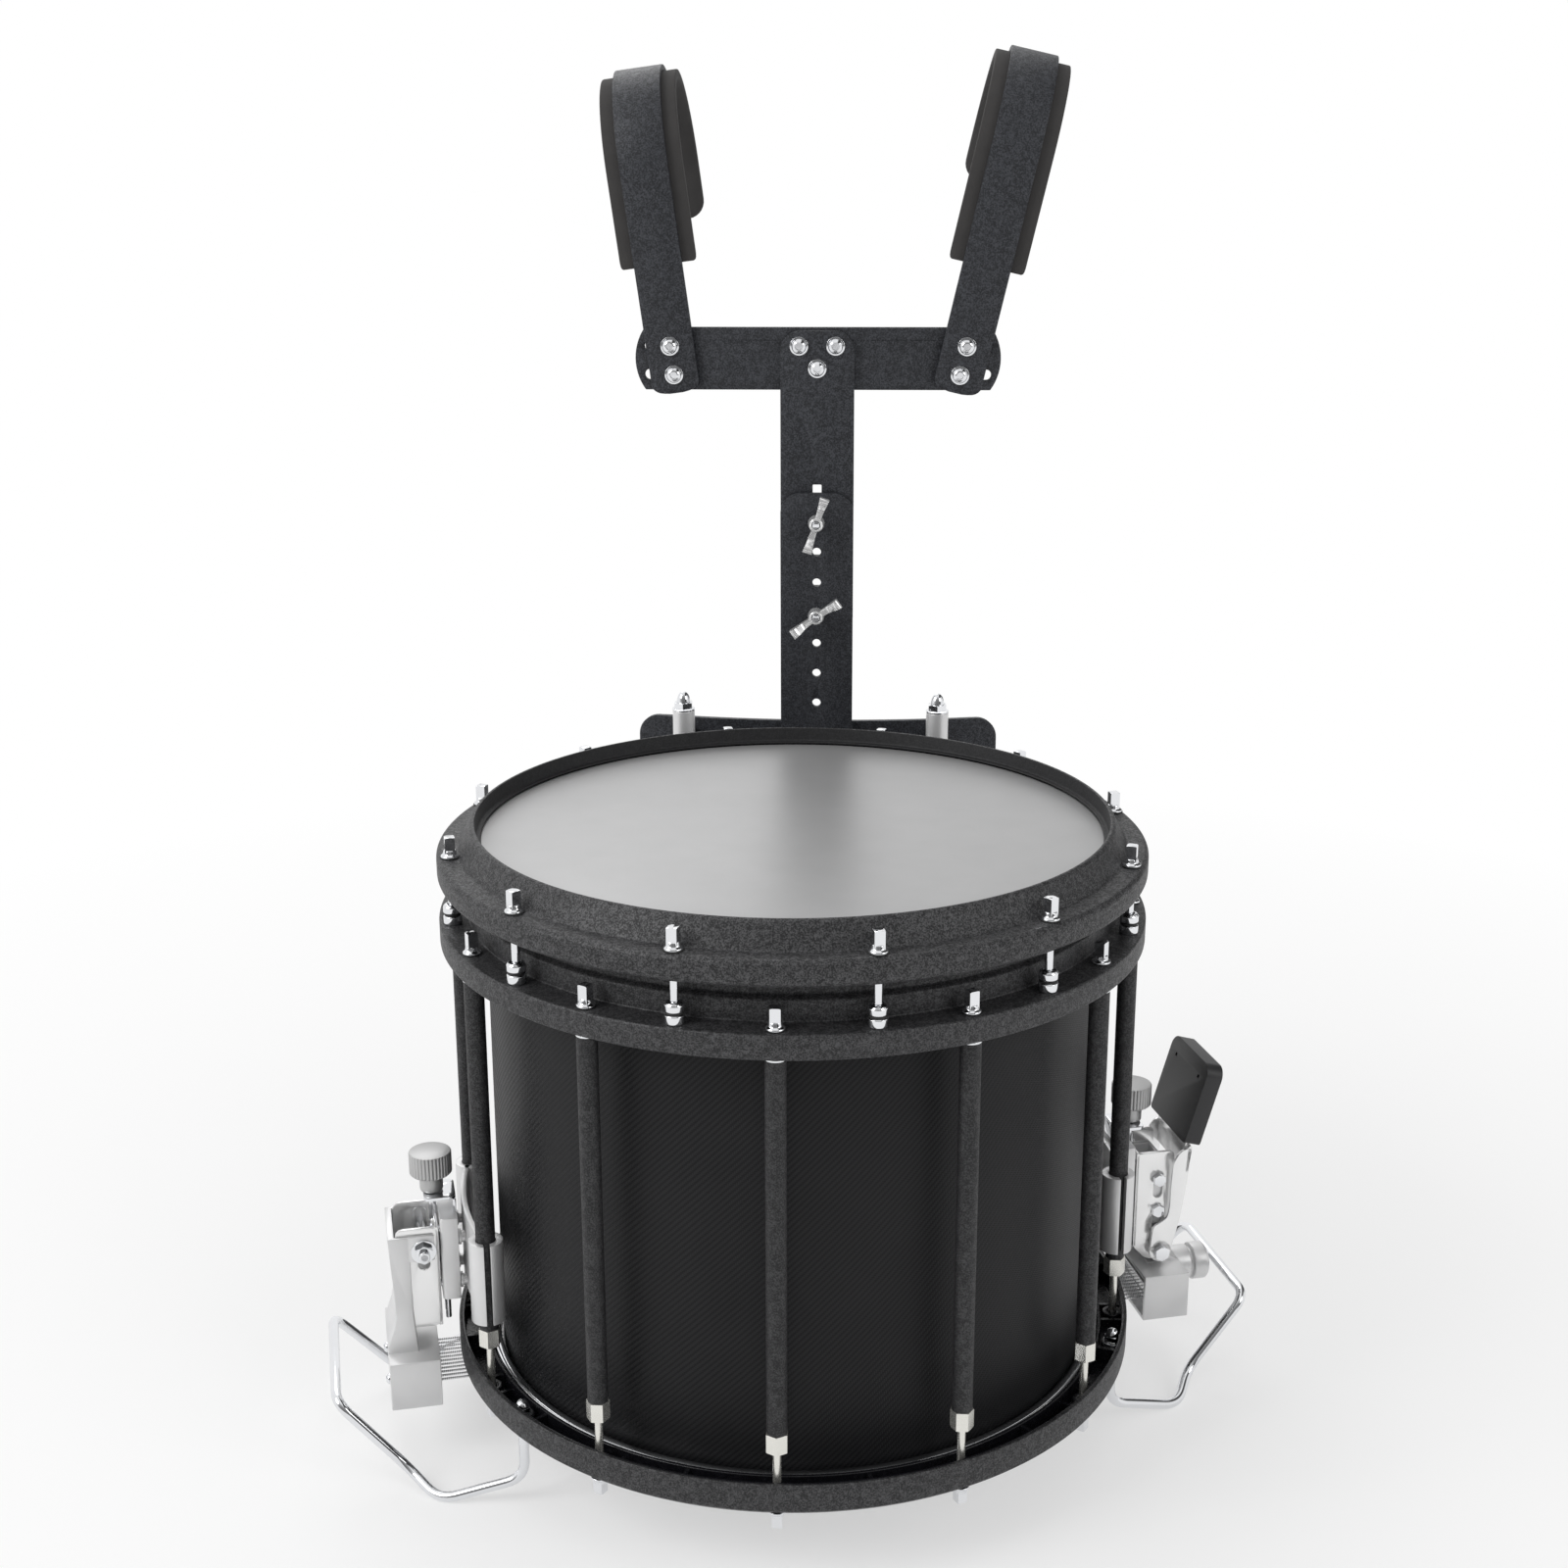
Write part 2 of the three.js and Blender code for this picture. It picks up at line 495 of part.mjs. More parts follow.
// Two split clamps on the long tubes, the curved plate between them, and four standoffs
function bracketSolid() {
  const plateInner = rimRadius - clamp.plateInset;
  const plateOuter = plateInner + clamp.plateWall;
  const reach = Math.asin((tubeSide - clamp.radius / 2) / plateInner);
  const plan = new THREE.Shape();
  plan.absarc(-rimRadius, 0, plateOuter, -reach, reach);
  plan.absarc(-rimRadius, 0, plateInner, reach, -reach, true);
  let bracket = solidOf(extruded(plan, clamp.height, 4).translate(0, 0, clamp.bottom));
  for (const side of opposite) {
    const sleeve = pillar(clamp.radius, clamp.bottom, clampTop, clamp.sides);
    bracket = bracket.add(solidOf(sleeve.translate(tubePlace, side * tubeSide, 0)));
  }
  for (const side of opposite) {
    const bore = pillar(tube.radius + gap, clamp.bottom - overrun, clampTop + overrun, clamp.sides);
    const outwards = tubeSide + clamp.radius + overrun;
    const [slitLow, slitHigh] = [side * tubeSide, side * outwards].sort((a, b) => a - b);
    const slit = slab(tubePlace - clamp.slit / 2, tubePlace + clamp.slit / 2, slitLow, slitHigh,
      clamp.bottom - overrun, clampTop + overrun);
    bracket = cut(bracket, bore.translate(tubePlace, side * tubeSide, 0), slit);
    for (const height of [standoff.low, standoff.high]) {
      const stud = pillar(standoff.radius, -clamp.plateInset, block.inner - gap, standoff.sides)
        .rotateY(quarterTurn).translate(0, side * standoff.side, height);
      bracket = bracket.add(solidOf(stud));
    }
  }
  return bracket;
}

const blockOuter = block.inner + block.depth;
const blockTop = block.bottom + block.height;

// The slide block with its guide rods, and the tab that holds the knob
function bodySolid() {
  const outer = blockOuter - block.chamfer;
  const half = block.halfWidth;
  const plan = outline([
    [block.inner, -half], [outer, -half], [blockOuter, block.chamfer - half], [blockOuter, half - block.chamfer],
    [outer, half], [block.inner, half],
  ]);
  const tabOuter = blockOuter + tab.reach;
  const pieces = [
    extruded(plan, block.height, 1).translate(0, 0, block.bottom),
    slab(block.inner, block.inner + tab.wall, -tab.halfWidth, tab.halfWidth, blockTop - overrun,
      tab.bottom + tab.wall),
    slab(block.inner, tabOuter, -tab.halfWidth, tab.halfWidth, tab.bottom, tab.bottom + tab.wall),
  ];
  for (const side of opposite) {
    pieces.push(pillar(guideRod.radius, block.bottom - guideRod.drop, block.bottom + overrun, 8)
      .translate(blockOuter - guideRod.inset, side * guideRod.side, 0));
  }
  const hole = pillar(knob.neckRadius + gap, tab.bottom - overrun, tab.bottom + tab.wall + overrun, 8);
  return cut(join(...pieces), hole.translate(knob.place, 0, 0));
}

// A turned knob with chamfered edges and upright ridges round its side
function ridged(radius, low, high, edge, ridges, depth) {
  const profile = [
    [0, low], [radius - edge, low], [radius, low + edge], [radius, high - edge], [radius - edge, high], [0, high],
  ];
  const steps = 2 * ridges;
  const geometry = turned(profile, steps);
  const place = geometry.getAttribute('position');
  for (let step = 1; step < steps; step += 2) {
    for (const row of [2, 3]) {
      const index = step * profile.length + row;
      const shrink = (radius - depth) / radius;
      place.setXYZ(index, place.getX(index) * shrink, place.getY(index) * shrink, place.getZ(index));
    }
  }
  return geometry;
}

const screwBottom = tab.bottom - knob.screwLength;

function knobSolid() {
  const collarBottom = tab.bottom + tab.wall + gap;
  const pieces = [
    ridged(knob.radius, knob.bottom, knob.bottom + knob.height, knob.edge, knob.ridges, knob.ridgeDepth),
    pillar(knob.collarRadius, collarBottom, knob.bottom + overrun, 12),
    pillar(knob.neckRadius, screwBottom, collarBottom + overrun, 8),
  ];
  return join(...pieces.map((piece) => piece.translate(knob.place, 0, 0)));
}

// An upright slot through the channel's two flanges
function slotForms(place, low, high, width) {
  const reach = channel.halfWidth + overrun;
  const ends = [low + width / 2, high - width / 2];
  return [
    slab(place - width / 2, place + width / 2, -reach, reach, ends[0], ends[1]),
    ...ends.map((end) => lying(width / 2, -reach, reach, 8).translate(place, 0, end)),
  ];
}

// A pressed channel that rides on the knob's screw. Its open side faces out.
function channelSolid(sideView, cuts) {
  const { inner, outer, wall, halfWidth, top } = channel;
  const inside = halfWidth - wall;
  const screwReach = knob.neckRadius + gap;
  const inwards = slab(inner + wall, outer + overrun, -inside, inside, lug.bottom - overrun, top - wall);
  const screwRelief = slab(inner - overrun, knob.place + screwReach, -screwReach, screwReach,
    screwBottom - knob.travel - channel.wall, top - wall);
  const screwHole = pillar(screwReach, top - wall - overrun, top + overrun, 8).translate(knob.place, 0, 0);
  return cut(solidOf(sideways(sideView, -halfWidth, halfWidth)), inwards, screwRelief, screwHole, ...cuts);
}

const boxOuter = box.inner + box.depth;
const boxTop = box.bottom + box.height;
const strandTop = strands.height + strands.thickness / 2 + gap;
const strandBottom = strands.height - strands.thickness / 2 - gap;

// The snare box: a rail open towards the drum, with the two jaws that grip the strands
function boxForms(whole) {
  const { inner, halfLength, wall, bottom, jawInset, jawDepth, jawHeight } = box;
  let solid = whole.add(solidOf(slab(inner, boxOuter, -halfLength, halfLength, bottom, boxTop)));
  solid = cut(solid, slab(inner - overrun, boxOuter - wall, wall - halfLength, halfLength - wall, bottom + wall,
    boxTop - wall));
  const jawLow = inner + jawInset;
  const jawHalf = halfLength - wall / 2;
  const jaws = [[strandTop, strandTop + jawHeight], [bottom + wall / 2, strandBottom]];
  for (const [low, high] of jaws) {
    solid = solid.add(solidOf(slab(jawLow, jawLow + jawDepth, -jawHalf, jawHalf, low, high)));
  }
  for (const side of opposite) {
    const screw = pillar(box.screwRadius, boxOuter - overrun, boxOuter + box.screwHead, 8);
    solid = solid.add(solidOf(screw.rotateY(quarterTurn).translate(0, side * box.screwSide, strandTop)));
  }
  return solid;
}

// An arm's side view: straight above, and flared below to the width of the box
function armOutline(inner, outer, top, flareHeight, flareReach) {
  const points = [[inner, top], [outer, top]];
  for (let i = 0; i <= arm.flareSteps; i++) {
    const share = i / arm.flareSteps;
    points.push([outer + (boxOuter - outer) * share * share, boxTop + flareHeight * (1 - share)]);
  }
  points.push([boxOuter, boxTop - box.wall], [inner - flareReach, boxTop - box.wall], [inner - flareReach, boxTop]);
  points.push([inner, boxTop + flareHeight]);
  return outline(points);
}

// The fixed side's box: its arm straddles the channel and is clamped by a bolt through the slots
function fixedBoxSolid() {
  const half = channel.halfWidth + gap + arm.wall;
  const view = armOutline(arm.inner, arm.outer, arm.top, arm.flareHeight, arm.flareReach);
  let solid = cut(solidOf(sideways(view, -half, half)), slab(arm.inner - arm.flareReach - overrun,
    arm.outer - arm.wall, arm.wall - half, half - arm.wall, boxTop, arm.top + overrun));
  solid = boxForms(solid);
  const ear = half + bolt.washer;
  const lowSlab = slab(clampBolt.place - bolt.washerRadius, arm.inner + overrun, half - arm.wall, half,
    clampBolt.height - bolt.washerRadius, arm.top);
  const pieces = [
    lowSlab, lowSlab.clone().translate(0, arm.wall - 2 * half, 0),
    lying(bolt.radius, -ear, ear + bolt.nutHeight + overrun, 8).translate(clampBolt.place, 0, clampBolt.height),
    lying(bolt.washerRadius, half - gap, ear, 12).translate(clampBolt.place, 0, clampBolt.height),
    lying(bolt.nutRadius, ear - gap, ear + bolt.nutHeight, 6).translate(clampBolt.place, 0, clampBolt.height),
    lying(bolt.washerRadius, -ear - bolt.washer, gap - half, 10).translate(clampBolt.place, 0, clampBolt.height),
  ];
  return pieces.reduce((rest, piece) => rest.add(solidOf(piece)), solid);
}

// The release side's box: its strap drops inside the channel, guided by two pins in its slots
function droppingBoxSolid() {
  const half = channel.halfWidth - channel.wall - gap;
  const reach = channel.halfWidth + gap + slidePin.headHeight;
  const view = armOutline(strap.inner, strap.outer, strap.top, strap.flareHeight, 0);
  const [back, face] = [strap.inner - overrun, strap.outer - strap.wall];
  let solid = cut(solidOf(sideways(view, -half, half)),
    slab(back, face, strap.wall - half, half - strap.wall, boxTop, strap.top + overrun),
    slab(back, face, -half - overrun, half + overrun, boxTop, strap.cutTop));
  solid = boxForms(solid);
  const pieces = [];
  for (const height of [slidePin.high, slidePin.low]) {
    pieces.push(lying(bolt.radius, -reach, reach, 8).translate(slidePin.place, 0, height));
    const nut = lying(slidePin.headRadius, -reach, -channel.halfWidth - gap, 6);
    const head = lying(slidePin.headRadius, channel.halfWidth + gap, reach, 10);
    pieces.push(nut.translate(slidePin.place, 0, height), head.translate(slidePin.place, 0, height));
  }
  solid = pieces.reduce((rest, piece) => rest.add(solidOf(piece)), solid);
  const stemHole = pillar(tensionKnob.stemRadius + gap, strap.outer - strap.wall - overrun, boxOuter + overrun, 10);
  return cut(solid, stemHole.rotateY(quarterTurn).translate(0, 0, tensionKnob.height));
}

function throwLeverSolid() {
  const corners = leverSideShares.map(([across, up]) =>
    [pivot.place + across * lever.depth, pivot.height + up * lever.height]);
  const outer = lever.inner + lever.wall;
  const half = lever.wall / 2;
  const lean = radians(lever.leanAngle);
  const webBottom = pivot.height + lever.webBottom;
  const webTop = pivot.height + grip.height - lever.wall;
  const [lowEdge, highEdge] = leverWebShares.map((share) => pivot.place + share * lever.depth);
  const web = outline([
    [lowEdge - lever.wall, webBottom], [lowEdge, webBottom], [highEdge, webTop - lever.wall],
    [highEdge - half, webTop], [highEdge - lever.wall - half, webTop - lever.wall],
  ]);
  const sink = lever.tongueSink;
  const tongueFoot = [pivot.place + grip.place - sink * Math.tan(lean), pivot.height + grip.height - sink];
  const tongueTip = [
    tongueFoot[0] + lever.tongueLength * Math.sin(lean), tongueFoot[1] + lever.tongueLength * Math.cos(lean),
  ];
  const tongue = outline([
    [tongueFoot[0] - half, tongueFoot[1]], [tongueFoot[0] + half, tongueFoot[1]],
    [tongueTip[0] + half, tongueTip[1]], [tongueTip[0] - half, tongueTip[1]],
  ]);
  let solid = join(sideways(web, -outer, outer), sideways(tongue, -lever.tongueHalf, lever.tongueHalf));
  for (const side of opposite) {
    const low = Math.min(side * lever.inner, side * outer);
    const high = Math.max(side * lever.inner, side * outer);
    solid = solid.add(solidOf(sideways(outline(corners), low, high)));
    solid = solid.add(solidOf(lying(pivot.eyeRadius, low, high, 10).translate(pivot.place, 0, pivot.height)));
  }
  const bore = lying(pivot.radius + pivot.clearance, -outer - overrun, outer + overrun, 10);
  return cut(solid, bore.translate(pivot.place, 0, pivot.height));
}

// The grip, moulded in its own frame and then set on the lever's tongue
function gripSolid() {
  const { halfWidth, length, corner, edge, thickness } = grip;
  const shape = roundedOutline(halfWidth - edge, edge, length - edge, edge, corner);
  const bevel = { bevelEnabled: true, bevelThickness: edge, bevelSize: edge, bevelSegments: 1 };
  const body = new THREE.ExtrudeGeometry(shape, { depth: thickness - 2 * edge, curveSegments: 3, ...bevel })
    .translate(0, 0, edge - thickness / 2);
  const reach = lever.tongueHalf + gap;
  const socket = slab(-reach, reach, -overrun, lever.tongueLength, -lever.wall, lever.wall);
  const lean = radians(lever.leanAngle);
  const across = new THREE.Vector3(0, 1, 0);
  const along = new THREE.Vector3(Math.sin(lean), 0, Math.cos(lean));
  const seat = new THREE.Matrix4().makeBasis(across, along, across.clone().cross(along))
    .setPosition(pivot.place + grip.place, 0, pivot.height + grip.height);
  return cut(solidOf(body.applyMatrix4(seat)), socket.applyMatrix4(seat));
}

function leverPinSolid() {
  const outer = lever.inner + lever.wall + gap;
  const pieces = [
    lying(pivot.radius, -outer - overrun, outer + overrun, 10),
    lying(pivot.headRadius, -outer - pivot.headHeight, -outer, 6),
    lying(pivot.headRadius, outer, outer + pivot.headHeight, 10),
  ];
  return join(...pieces.map((piece) => piece.translate(pivot.place, 0, pivot.height)));
}

// The tension knob: a barrel on the box's face, then a neck and the ridged cap
function tensionKnobSolid() {
  const { inner, barrelRadius, barrelEnd, edge } = tensionKnob;
  const whole = join(
    ridged(tensionKnob.radius, inner, inner + tensionKnob.length, edge, tensionKnob.ridges, tensionKnob.ridgeDepth),
    pillar(barrelRadius, boxOuter + gap, barrelEnd, 12),
    pillar(tensionKnob.neckRadius, barrelEnd - overrun, inner + overrun, 8),
    pillar(tensionKnob.stemRadius, strap.outer - strap.wall, boxOuter + overrun, 8),
  );
  return solidOf(geometryOf(whole).rotateY(quarterTurn).translate(0, 0, tensionKnob.height));
}

const noseHeight = channel.top - channel.noseDrop;
const fixedChannelView = outline([
  [channel.inner, channel.bottom], [channel.outer - channel.wall, channel.bottom],
  [channel.outer, channel.bottom + channel.wall],
  [channel.outer, noseHeight], [channel.outer - channel.wall, channel.top], [channel.inner, channel.top],
]);
const releaseChannelView = outline([
  [channel.inner, channel.bottom], [lug.start, lug.bottom], [lug.end, lug.bottom], [channel.outer, channel.bottom],
  [channel.outer, noseHeight], [channel.outer - channel.wall, channel.top], [channel.inner, channel.top],
]);
const pinSlot = 2 * (bolt.radius + bolt.clearance);
const pinSlots = [slidePin.high, slidePin.low].flatMap((height) =>
  slotForms(slidePin.place, height - slidePin.drop - pinSlot / 2, height + pinSlot / 2, pinSlot));
const pivotReach = channel.halfWidth + overrun;
const pivotBore = lying(pivot.radius + pivot.clearance, -pivotReach, pivotReach, 10)
  .translate(pivot.place, 0, pivot.height);

const butt = strainerGroup(frame.snareAngle);
addPiece(butt, 'butt_bracket', bracketSolid(), 'satin');
addPiece(butt, 'butt_body', bodySolid(), 'satin');
addPiece(butt, 'butt_knob', knobSolid(), 'satin');
addPiece(butt, 'butt_carriage', channelSolid(fixedChannelView,
  slotForms(clampBolt.place, clampBolt.low, clampBolt.high, clampBolt.slot)), 'chrome');
addPiece(butt, 'butt_snare_box', fixedBoxSolid(), 'satin');

const release = strainerGroup(frame.snareAngle + 180);
addPiece(release, 'strainer_bracket', bracketSolid(), 'satin');
addPiece(release, 'strainer_body', bodySolid(), 'satin');
addPiece(release, 'strainer_knob', knobSolid(), 'satin');
addPiece(release, 'strainer_carriage', channelSolid(releaseChannelView, [...pinSlots, pivotBore]), 'chrome');
addPiece(release, 'strainer_snare_box', droppingBoxSolid(), 'satin');
addPiece(release, 'throw_lever', throwLeverSolid(), 'satin');
addPiece(release, 'lever_grip', gripSolid(), 'blackPlastic');
addPiece(release, 'lever_pin', leverPinSolid(), 'chrome');
addPiece(release, 'tension_knob', tensionKnobSolid(), 'satin');

// Snare strands, stretched under the head from box to box, with a bar across each end
const strandReach = rimRadius + box.inner + box.jawInset + strands.barWidth + gap;
let strandSolid = null;
for (let i = 0; i < strands.count; i++) {
  const side = (i - (strands.count - 1) / 2) * strands.pitch;
  const strand = pillar(strands.thickness / 2, -strandReach, strandReach, strands.sides)
    .rotateY(quarterTurn).translate(-rimRadius, side, strands.height);
  const solid = solidOf(strand);
  strandSolid = strandSolid ? strandSolid.add(solid) : solid;
}
const strandHalf = (strands.count * strands.pitch) / 2;
for (const side of opposite) {
  const ends = [side * strandReach, side * (strandReach - strands.barWidth)];
  const bar = slab(Math.min(...ends), Math.max(...ends), -strandHalf, strandHalf,
    strands.height - strands.thickness / 2, strands.height + strands.thickness / 2);
  strandSolid = strandSolid.add(solidOf(bar.translate(-rimRadius, 0, 0)));
}
addPiece(release, 'snare_strands', strandSolid, 'wireSteel');

// Guards: a bent wire on two studs round each box. Their lowest bends are the drum's feet.
const guardPlace = boltRadius * Math.cos(radians(guard.angle)) - rimRadius;
const guardSide = boltRadius * Math.sin(radians(guard.angle));
const guardHalf = [
  [guardPlace, guardSide, lowerSeat], [guardPlace, guardSide, guard.legBottom],
  [guard.footPlace, guard.footSide, guard.footHeight], [guard.kneePlace, guard.kneeSide, guard.kneeHeight],
  [guard.outerPlace, guard.outerSide, guard.outerHeight],
];
const guardPath = [...guardHalf, ...guardHalf.map(([x, y, z]) => [x, -y, z]).reverse()];

function guardSolid() {
  const nutBottom = guard.bossTop + gap;
  const forms = [wireAlong(guardPath, guard.bend, guard.bendSteps, guard.wire, guard.sides)];
  for (const side of opposite) {
    const stud = [
      pillar(thread.radius, lowerSeat - overrun, nutBottom + overrun, thread.sides),
      pillar(guard.nutRadius, nutBottom, nutBottom + guard.nutHeight, 6),
      post(guard.domeRadius, guard.domeRadius / 2, nutBottom + guard.nutHeight - gap,
        nutBottom + guard.nutHeight + guard.domeHeight, 8),
    ];
    forms.push(...stud.map((form) => form.translate(guardPlace, side * guardSide, 0)));
  }
  return join(...forms);
}

addPiece(butt, 'guard_left', guardSolid(), 'chrome');
addPiece(release, 'guard_right', guardSolid(), 'chrome');

// Carrier: flat bars bolted face to face, in three layers. The lower spine is in front, the upper
// spine and the two shoulder bars lie behind it, and the cross bar is last.
const harness = new THREE.Group();
harness.position.set(carrier.middle, rimRadius + carrier.reach, ringUnder);
drum.add(harness);
const rearLayer = carrier.plate + gap;
const rearFace = rearLayer + carrier.plate;
const barMiddle = rearLayer + carrier.plate / 2;
const crossLayer = rearFace + gap;
const crossBack = crossLayer + carrier.plate;
const boltHole = carrier.boltRadius + carrier.boltClearance;
const crossTop = crossBar.bottom + crossBar.height;
const slotPlace = crossBar.length / 2 - crossBar.slotInset;
const shoulderPlace = slotPlace + shoulder.shift;
const boltHeights = [crossTop - crossBar.highInset, crossBar.bottom + crossBar.lowInset];

// A bolt of a shoulder bar: its head lies on the bar, its shank in the slot, and its nut behind
function slotBoltForms(x, z) {
  const nutFace = crossBack + gap;
  return [
    lying(carrier.boltRadius, barMiddle, nutFace + overrun, 6),
    lying(carrier.headRadius, rearLayer - carrier.headHeight, barMiddle, 8),
    lying(bolt.nutRadius, nutFace, nutFace + bolt.nutHeight, 6),
  ].map((form) => form.translate(x, 0, z));
}

// The cross bar's ends are bowed outwards
const crossHalf = crossBar.height / 2;
const endRadius = (crossHalf ** 2 + crossBar.endBow ** 2) / (2 * crossBar.endBow);
const endSweep = Math.asin(crossHalf / endRadius);
const endCentre = crossBar.length / 2 - endRadius;
const crossFace = new THREE.Shape();
crossFace.absarc(endCentre, crossBar.bottom + crossHalf, endRadius, -endSweep, endSweep);
crossFace.absarc(-endCentre, crossBar.bottom + crossHalf, endRadius, 2 * quarterTurn - endSweep,
  2 * quarterTurn + endSweep);
let crossSolid = solidOf(standing(crossFace, crossLayer, carrier.plate, 4));
for (const side of opposite) {
  for (const height of boltHeights) {
    const place = side * slotPlace;
    const [slotLow, slotHigh] = [place - crossBar.slotEnd, place + crossBar.slotEnd];
    crossSolid = cut(crossSolid,
      slab(slotLow, slotHigh, rearFace, crossBack + overrun, height - boltHole, height + boltHole),
      ...[slotLow, slotHigh].map((end) =>
        lying(boltHole, rearFace, crossBack + overrun, 8).translate(end, 0, height)));
  }
}
addPiece(harness, 'cross_bar', crossSolid, 'crinkle');

// Upper spine, with square holes and the two carriage bolts that the wing nuts turn on
const spineHalf = spine.width / 2;
const spineFoot = belly.bottom + spine.footInset;
const holeHeight = (index) => spineFoot + spine.holeStart + index * spine.holePitch;
const upperFoot = holeHeight(spine.firstSquare) - spine.upperMargin;
const upperFace = roundedOutline(spineHalf, upperFoot, crossTop - spine.topInset, spine.corner / 2, spine.corner);
let upperSolid = solidOf(standing(upperFace, rearLayer, carrier.plate, 3));
for (let i = 0; i < spine.squares; i++) {
  const height = holeHeight(spine.firstSquare + i);
  upperSolid = cut(upperSolid, slab(-spine.square / 2, spine.square / 2, rearLayer - overrun, rearFace + overrun,
    height - spine.square / 2, height + spine.square / 2));
}
for (const index of wing.holes) {
  const shank = join(
    lying(wing.shankRadius, -gap - wing.hubHeight - wing.shankEnd, rearFace, 8),
    slab(-spine.square / 2, spine.square / 2, rearLayer, rearFace + gap, -spine.square / 2, spine.square / 2),
    lying(carrier.headRadius, rearFace - gap, rearFace + carrier.headHeight, 10),
  );
  upperSolid = upperSolid.add(solidOf(geometryOf(shank).translate(0, 0, holeHeight(index))));
}
addPiece(harness, 'upper_spine', upperSolid, 'crinkle');

const lowerTop = holeHeight(spine.holes - 1) + spine.lowerMargin;
const lowerFace = roundedOutline(spineHalf, spineFoot, lowerTop, spine.corner / 2, spine.corner);
let lowerSolid = solidOf(standing(lowerFace, 0, carrier.plate, 3));
for (let i = 0; i < spine.holes; i++) {
  lowerSolid = cut(lowerSolid, lying(spine.holeRadius, -overrun, rearLayer, 8).translate(0, 0, holeHeight(i)));
}
addPiece(harness, 'lower_spine', lowerSolid, 'crinkle');

// Wing nuts, each free to turn on its carriage bolt
function wingNutSolid(turn) {
  const hub = new THREE.CylinderGeometry(wing.hubRadius, wing.hubTopRadius, wing.hubHeight, 12)
    .translate(0, -gap - wing.hubHeight / 2, 0);
  const profile = outline(wingShares.map(([across, up]) => [across * wing.span, up * wing.height]));
  const blade = extruded(profile, wing.thickness, 1).translate(0, 0, -wing.thickness / 2)
    .rotateX(2 * quarterTurn).translate(0, -gap, 0);
  let nut = join(hub, blade, blade.clone().rotateY(2 * quarterTurn));
  nut = cut(nut, lying(wing.shankRadius + carrier.boltClearance, -gap - wing.hubHeight - overrun, overrun, 8));
  return solidOf(geometryOf(nut).rotateY(radians(turn)));
}

wing.holes.forEach((index, i) => {
  addPiece(harness, 'wing_nut_' + wing.names[i], wingNutSolid(wing.turns[i]), 'chrome')
    .position.set(0, 0, holeHeight(index));
});

// Shoulder bars and pads are strips laid on the line of the hook, which goes up, over the shoulder
// in a half circle and down behind it. A strip's stations are lengths along that line.
const shoulderFoot = crossBar.bottom - shoulder.footDrop;
const hookArc = Math.PI * shoulder.bendRadius;
const arcSteps = Array.from({ length: shoulder.arcSteps + 1 }, (_, i) => (hookArc * i) / shoulder.arcSteps);
const arcStations = ({ rise }) => arcSteps.map((step) => rise + step);
const barLength = ({ rise, tail }) => rise + hookArc + tail;
const pivotHeight = (boltHeights[0] + boltHeights[1]) / 2;

function flatStrip(stations, width, thickness, across) {
  const steps = stations.length - 1;
  return new THREE.BoxGeometry(width, thickness, steps, across, 1, steps).translate(0, 0, steps / 2);
}

// The whole hook leans from the middle of its two bolts
function laidOnHook(strip, stations, { side, leanAngle, rise }) {
  const place = strip.getAttribute('position');
  for (let i = 0; i < place.count; i++) {
    const along = stations[Math.round(place.getZ(i))];
    const turn = Math.min(Math.max(along - rise, 0) / shoulder.bendRadius, Math.PI);
    const beyond = Math.max(along - rise - hookArc, 0);
    const radius = shoulder.bendRadius - place.getY(i);
    const y = barMiddle + shoulder.bendRadius - radius * Math.cos(turn);
    const z = shoulderFoot + Math.min(along, rise) + radius * Math.sin(turn) - beyond;
    place.setXYZ(i, place.getX(i), y, z - pivotHeight);
  }
  return strip.rotateY(radians(leanAngle)).translate(side * shoulderPlace, 0, pivotHeight);
}

const footStations = footShares.map(([share]) => share * shoulder.footCorner);

// The bar's foot is drawn in to a rounded end
function shoulderBarSolid(side) {
  const barStations = [...footStations, shoulder.footCorner, ...arcStations(side), barLength(side)];
  const bar = flatStrip(barStations, shoulder.width, carrier.plate, 1);
  const place = bar.getAttribute('position');
  for (let i = 0; i < place.count; i++) {
    const foot = footShares[Math.round(place.getZ(i))];
    if (foot) place.setX(i, place.getX(i) * foot[1]);
  }
  const slope = Math.tan(radians(side.leanAngle));
  const bolts = boltHeights.flatMap((height) =>
    slotBoltForms(side.side * shoulderPlace + slope * (height - pivotHeight), height));
  return join(laidOnHook(bar, barStations, side), ...bolts);
}

// The foam under each hook is crowned across and drawn in at both ends
function shoulderPadSolid(side) {
  const { width, thickness, across, start, overhang, endLength, crownShare, crownPower, endShare, endWidthShare } =
    shoulderPad;
  const padEnd = barLength(side) + overhang;
  const padStations = [start, start + endLength, ...arcStations(side), padEnd - endLength, padEnd];
  const pad = flatStrip(padStations, width, thickness, across);
  const place = pad.getAttribute('position');
  const last = padStations.length - 1;
  for (let i = 0; i < place.count; i++) {
    const station = Math.round(place.getZ(i));
    const atEnd = station === 0 || station === last;
    const edgeShare = Math.abs(place.getX(i)) / (width / 2);
    const height = thickness * (1 - crownShare * edgeShare ** crownPower) * (atEnd ? endShare : 1);
    const inside = place.getY(i) > 0;
    place.setX(i, place.getX(i) * (atEnd ? endWidthShare : 1));
    place.setY(i, carrier.plate / 2 + gap + (inside ? height : 0));
  }
  return solidOf(laidOnHook(pad, padStations, side));
}

for (const side of shoulderSides) {
  addPiece(harness, 'shoulder_bar_' + side.name, shoulderBarSolid(side), 'crinkle');
  addPiece(harness, 'shoulder_pad_' + side.name, shoulderPadSolid(side), 'foam');
}

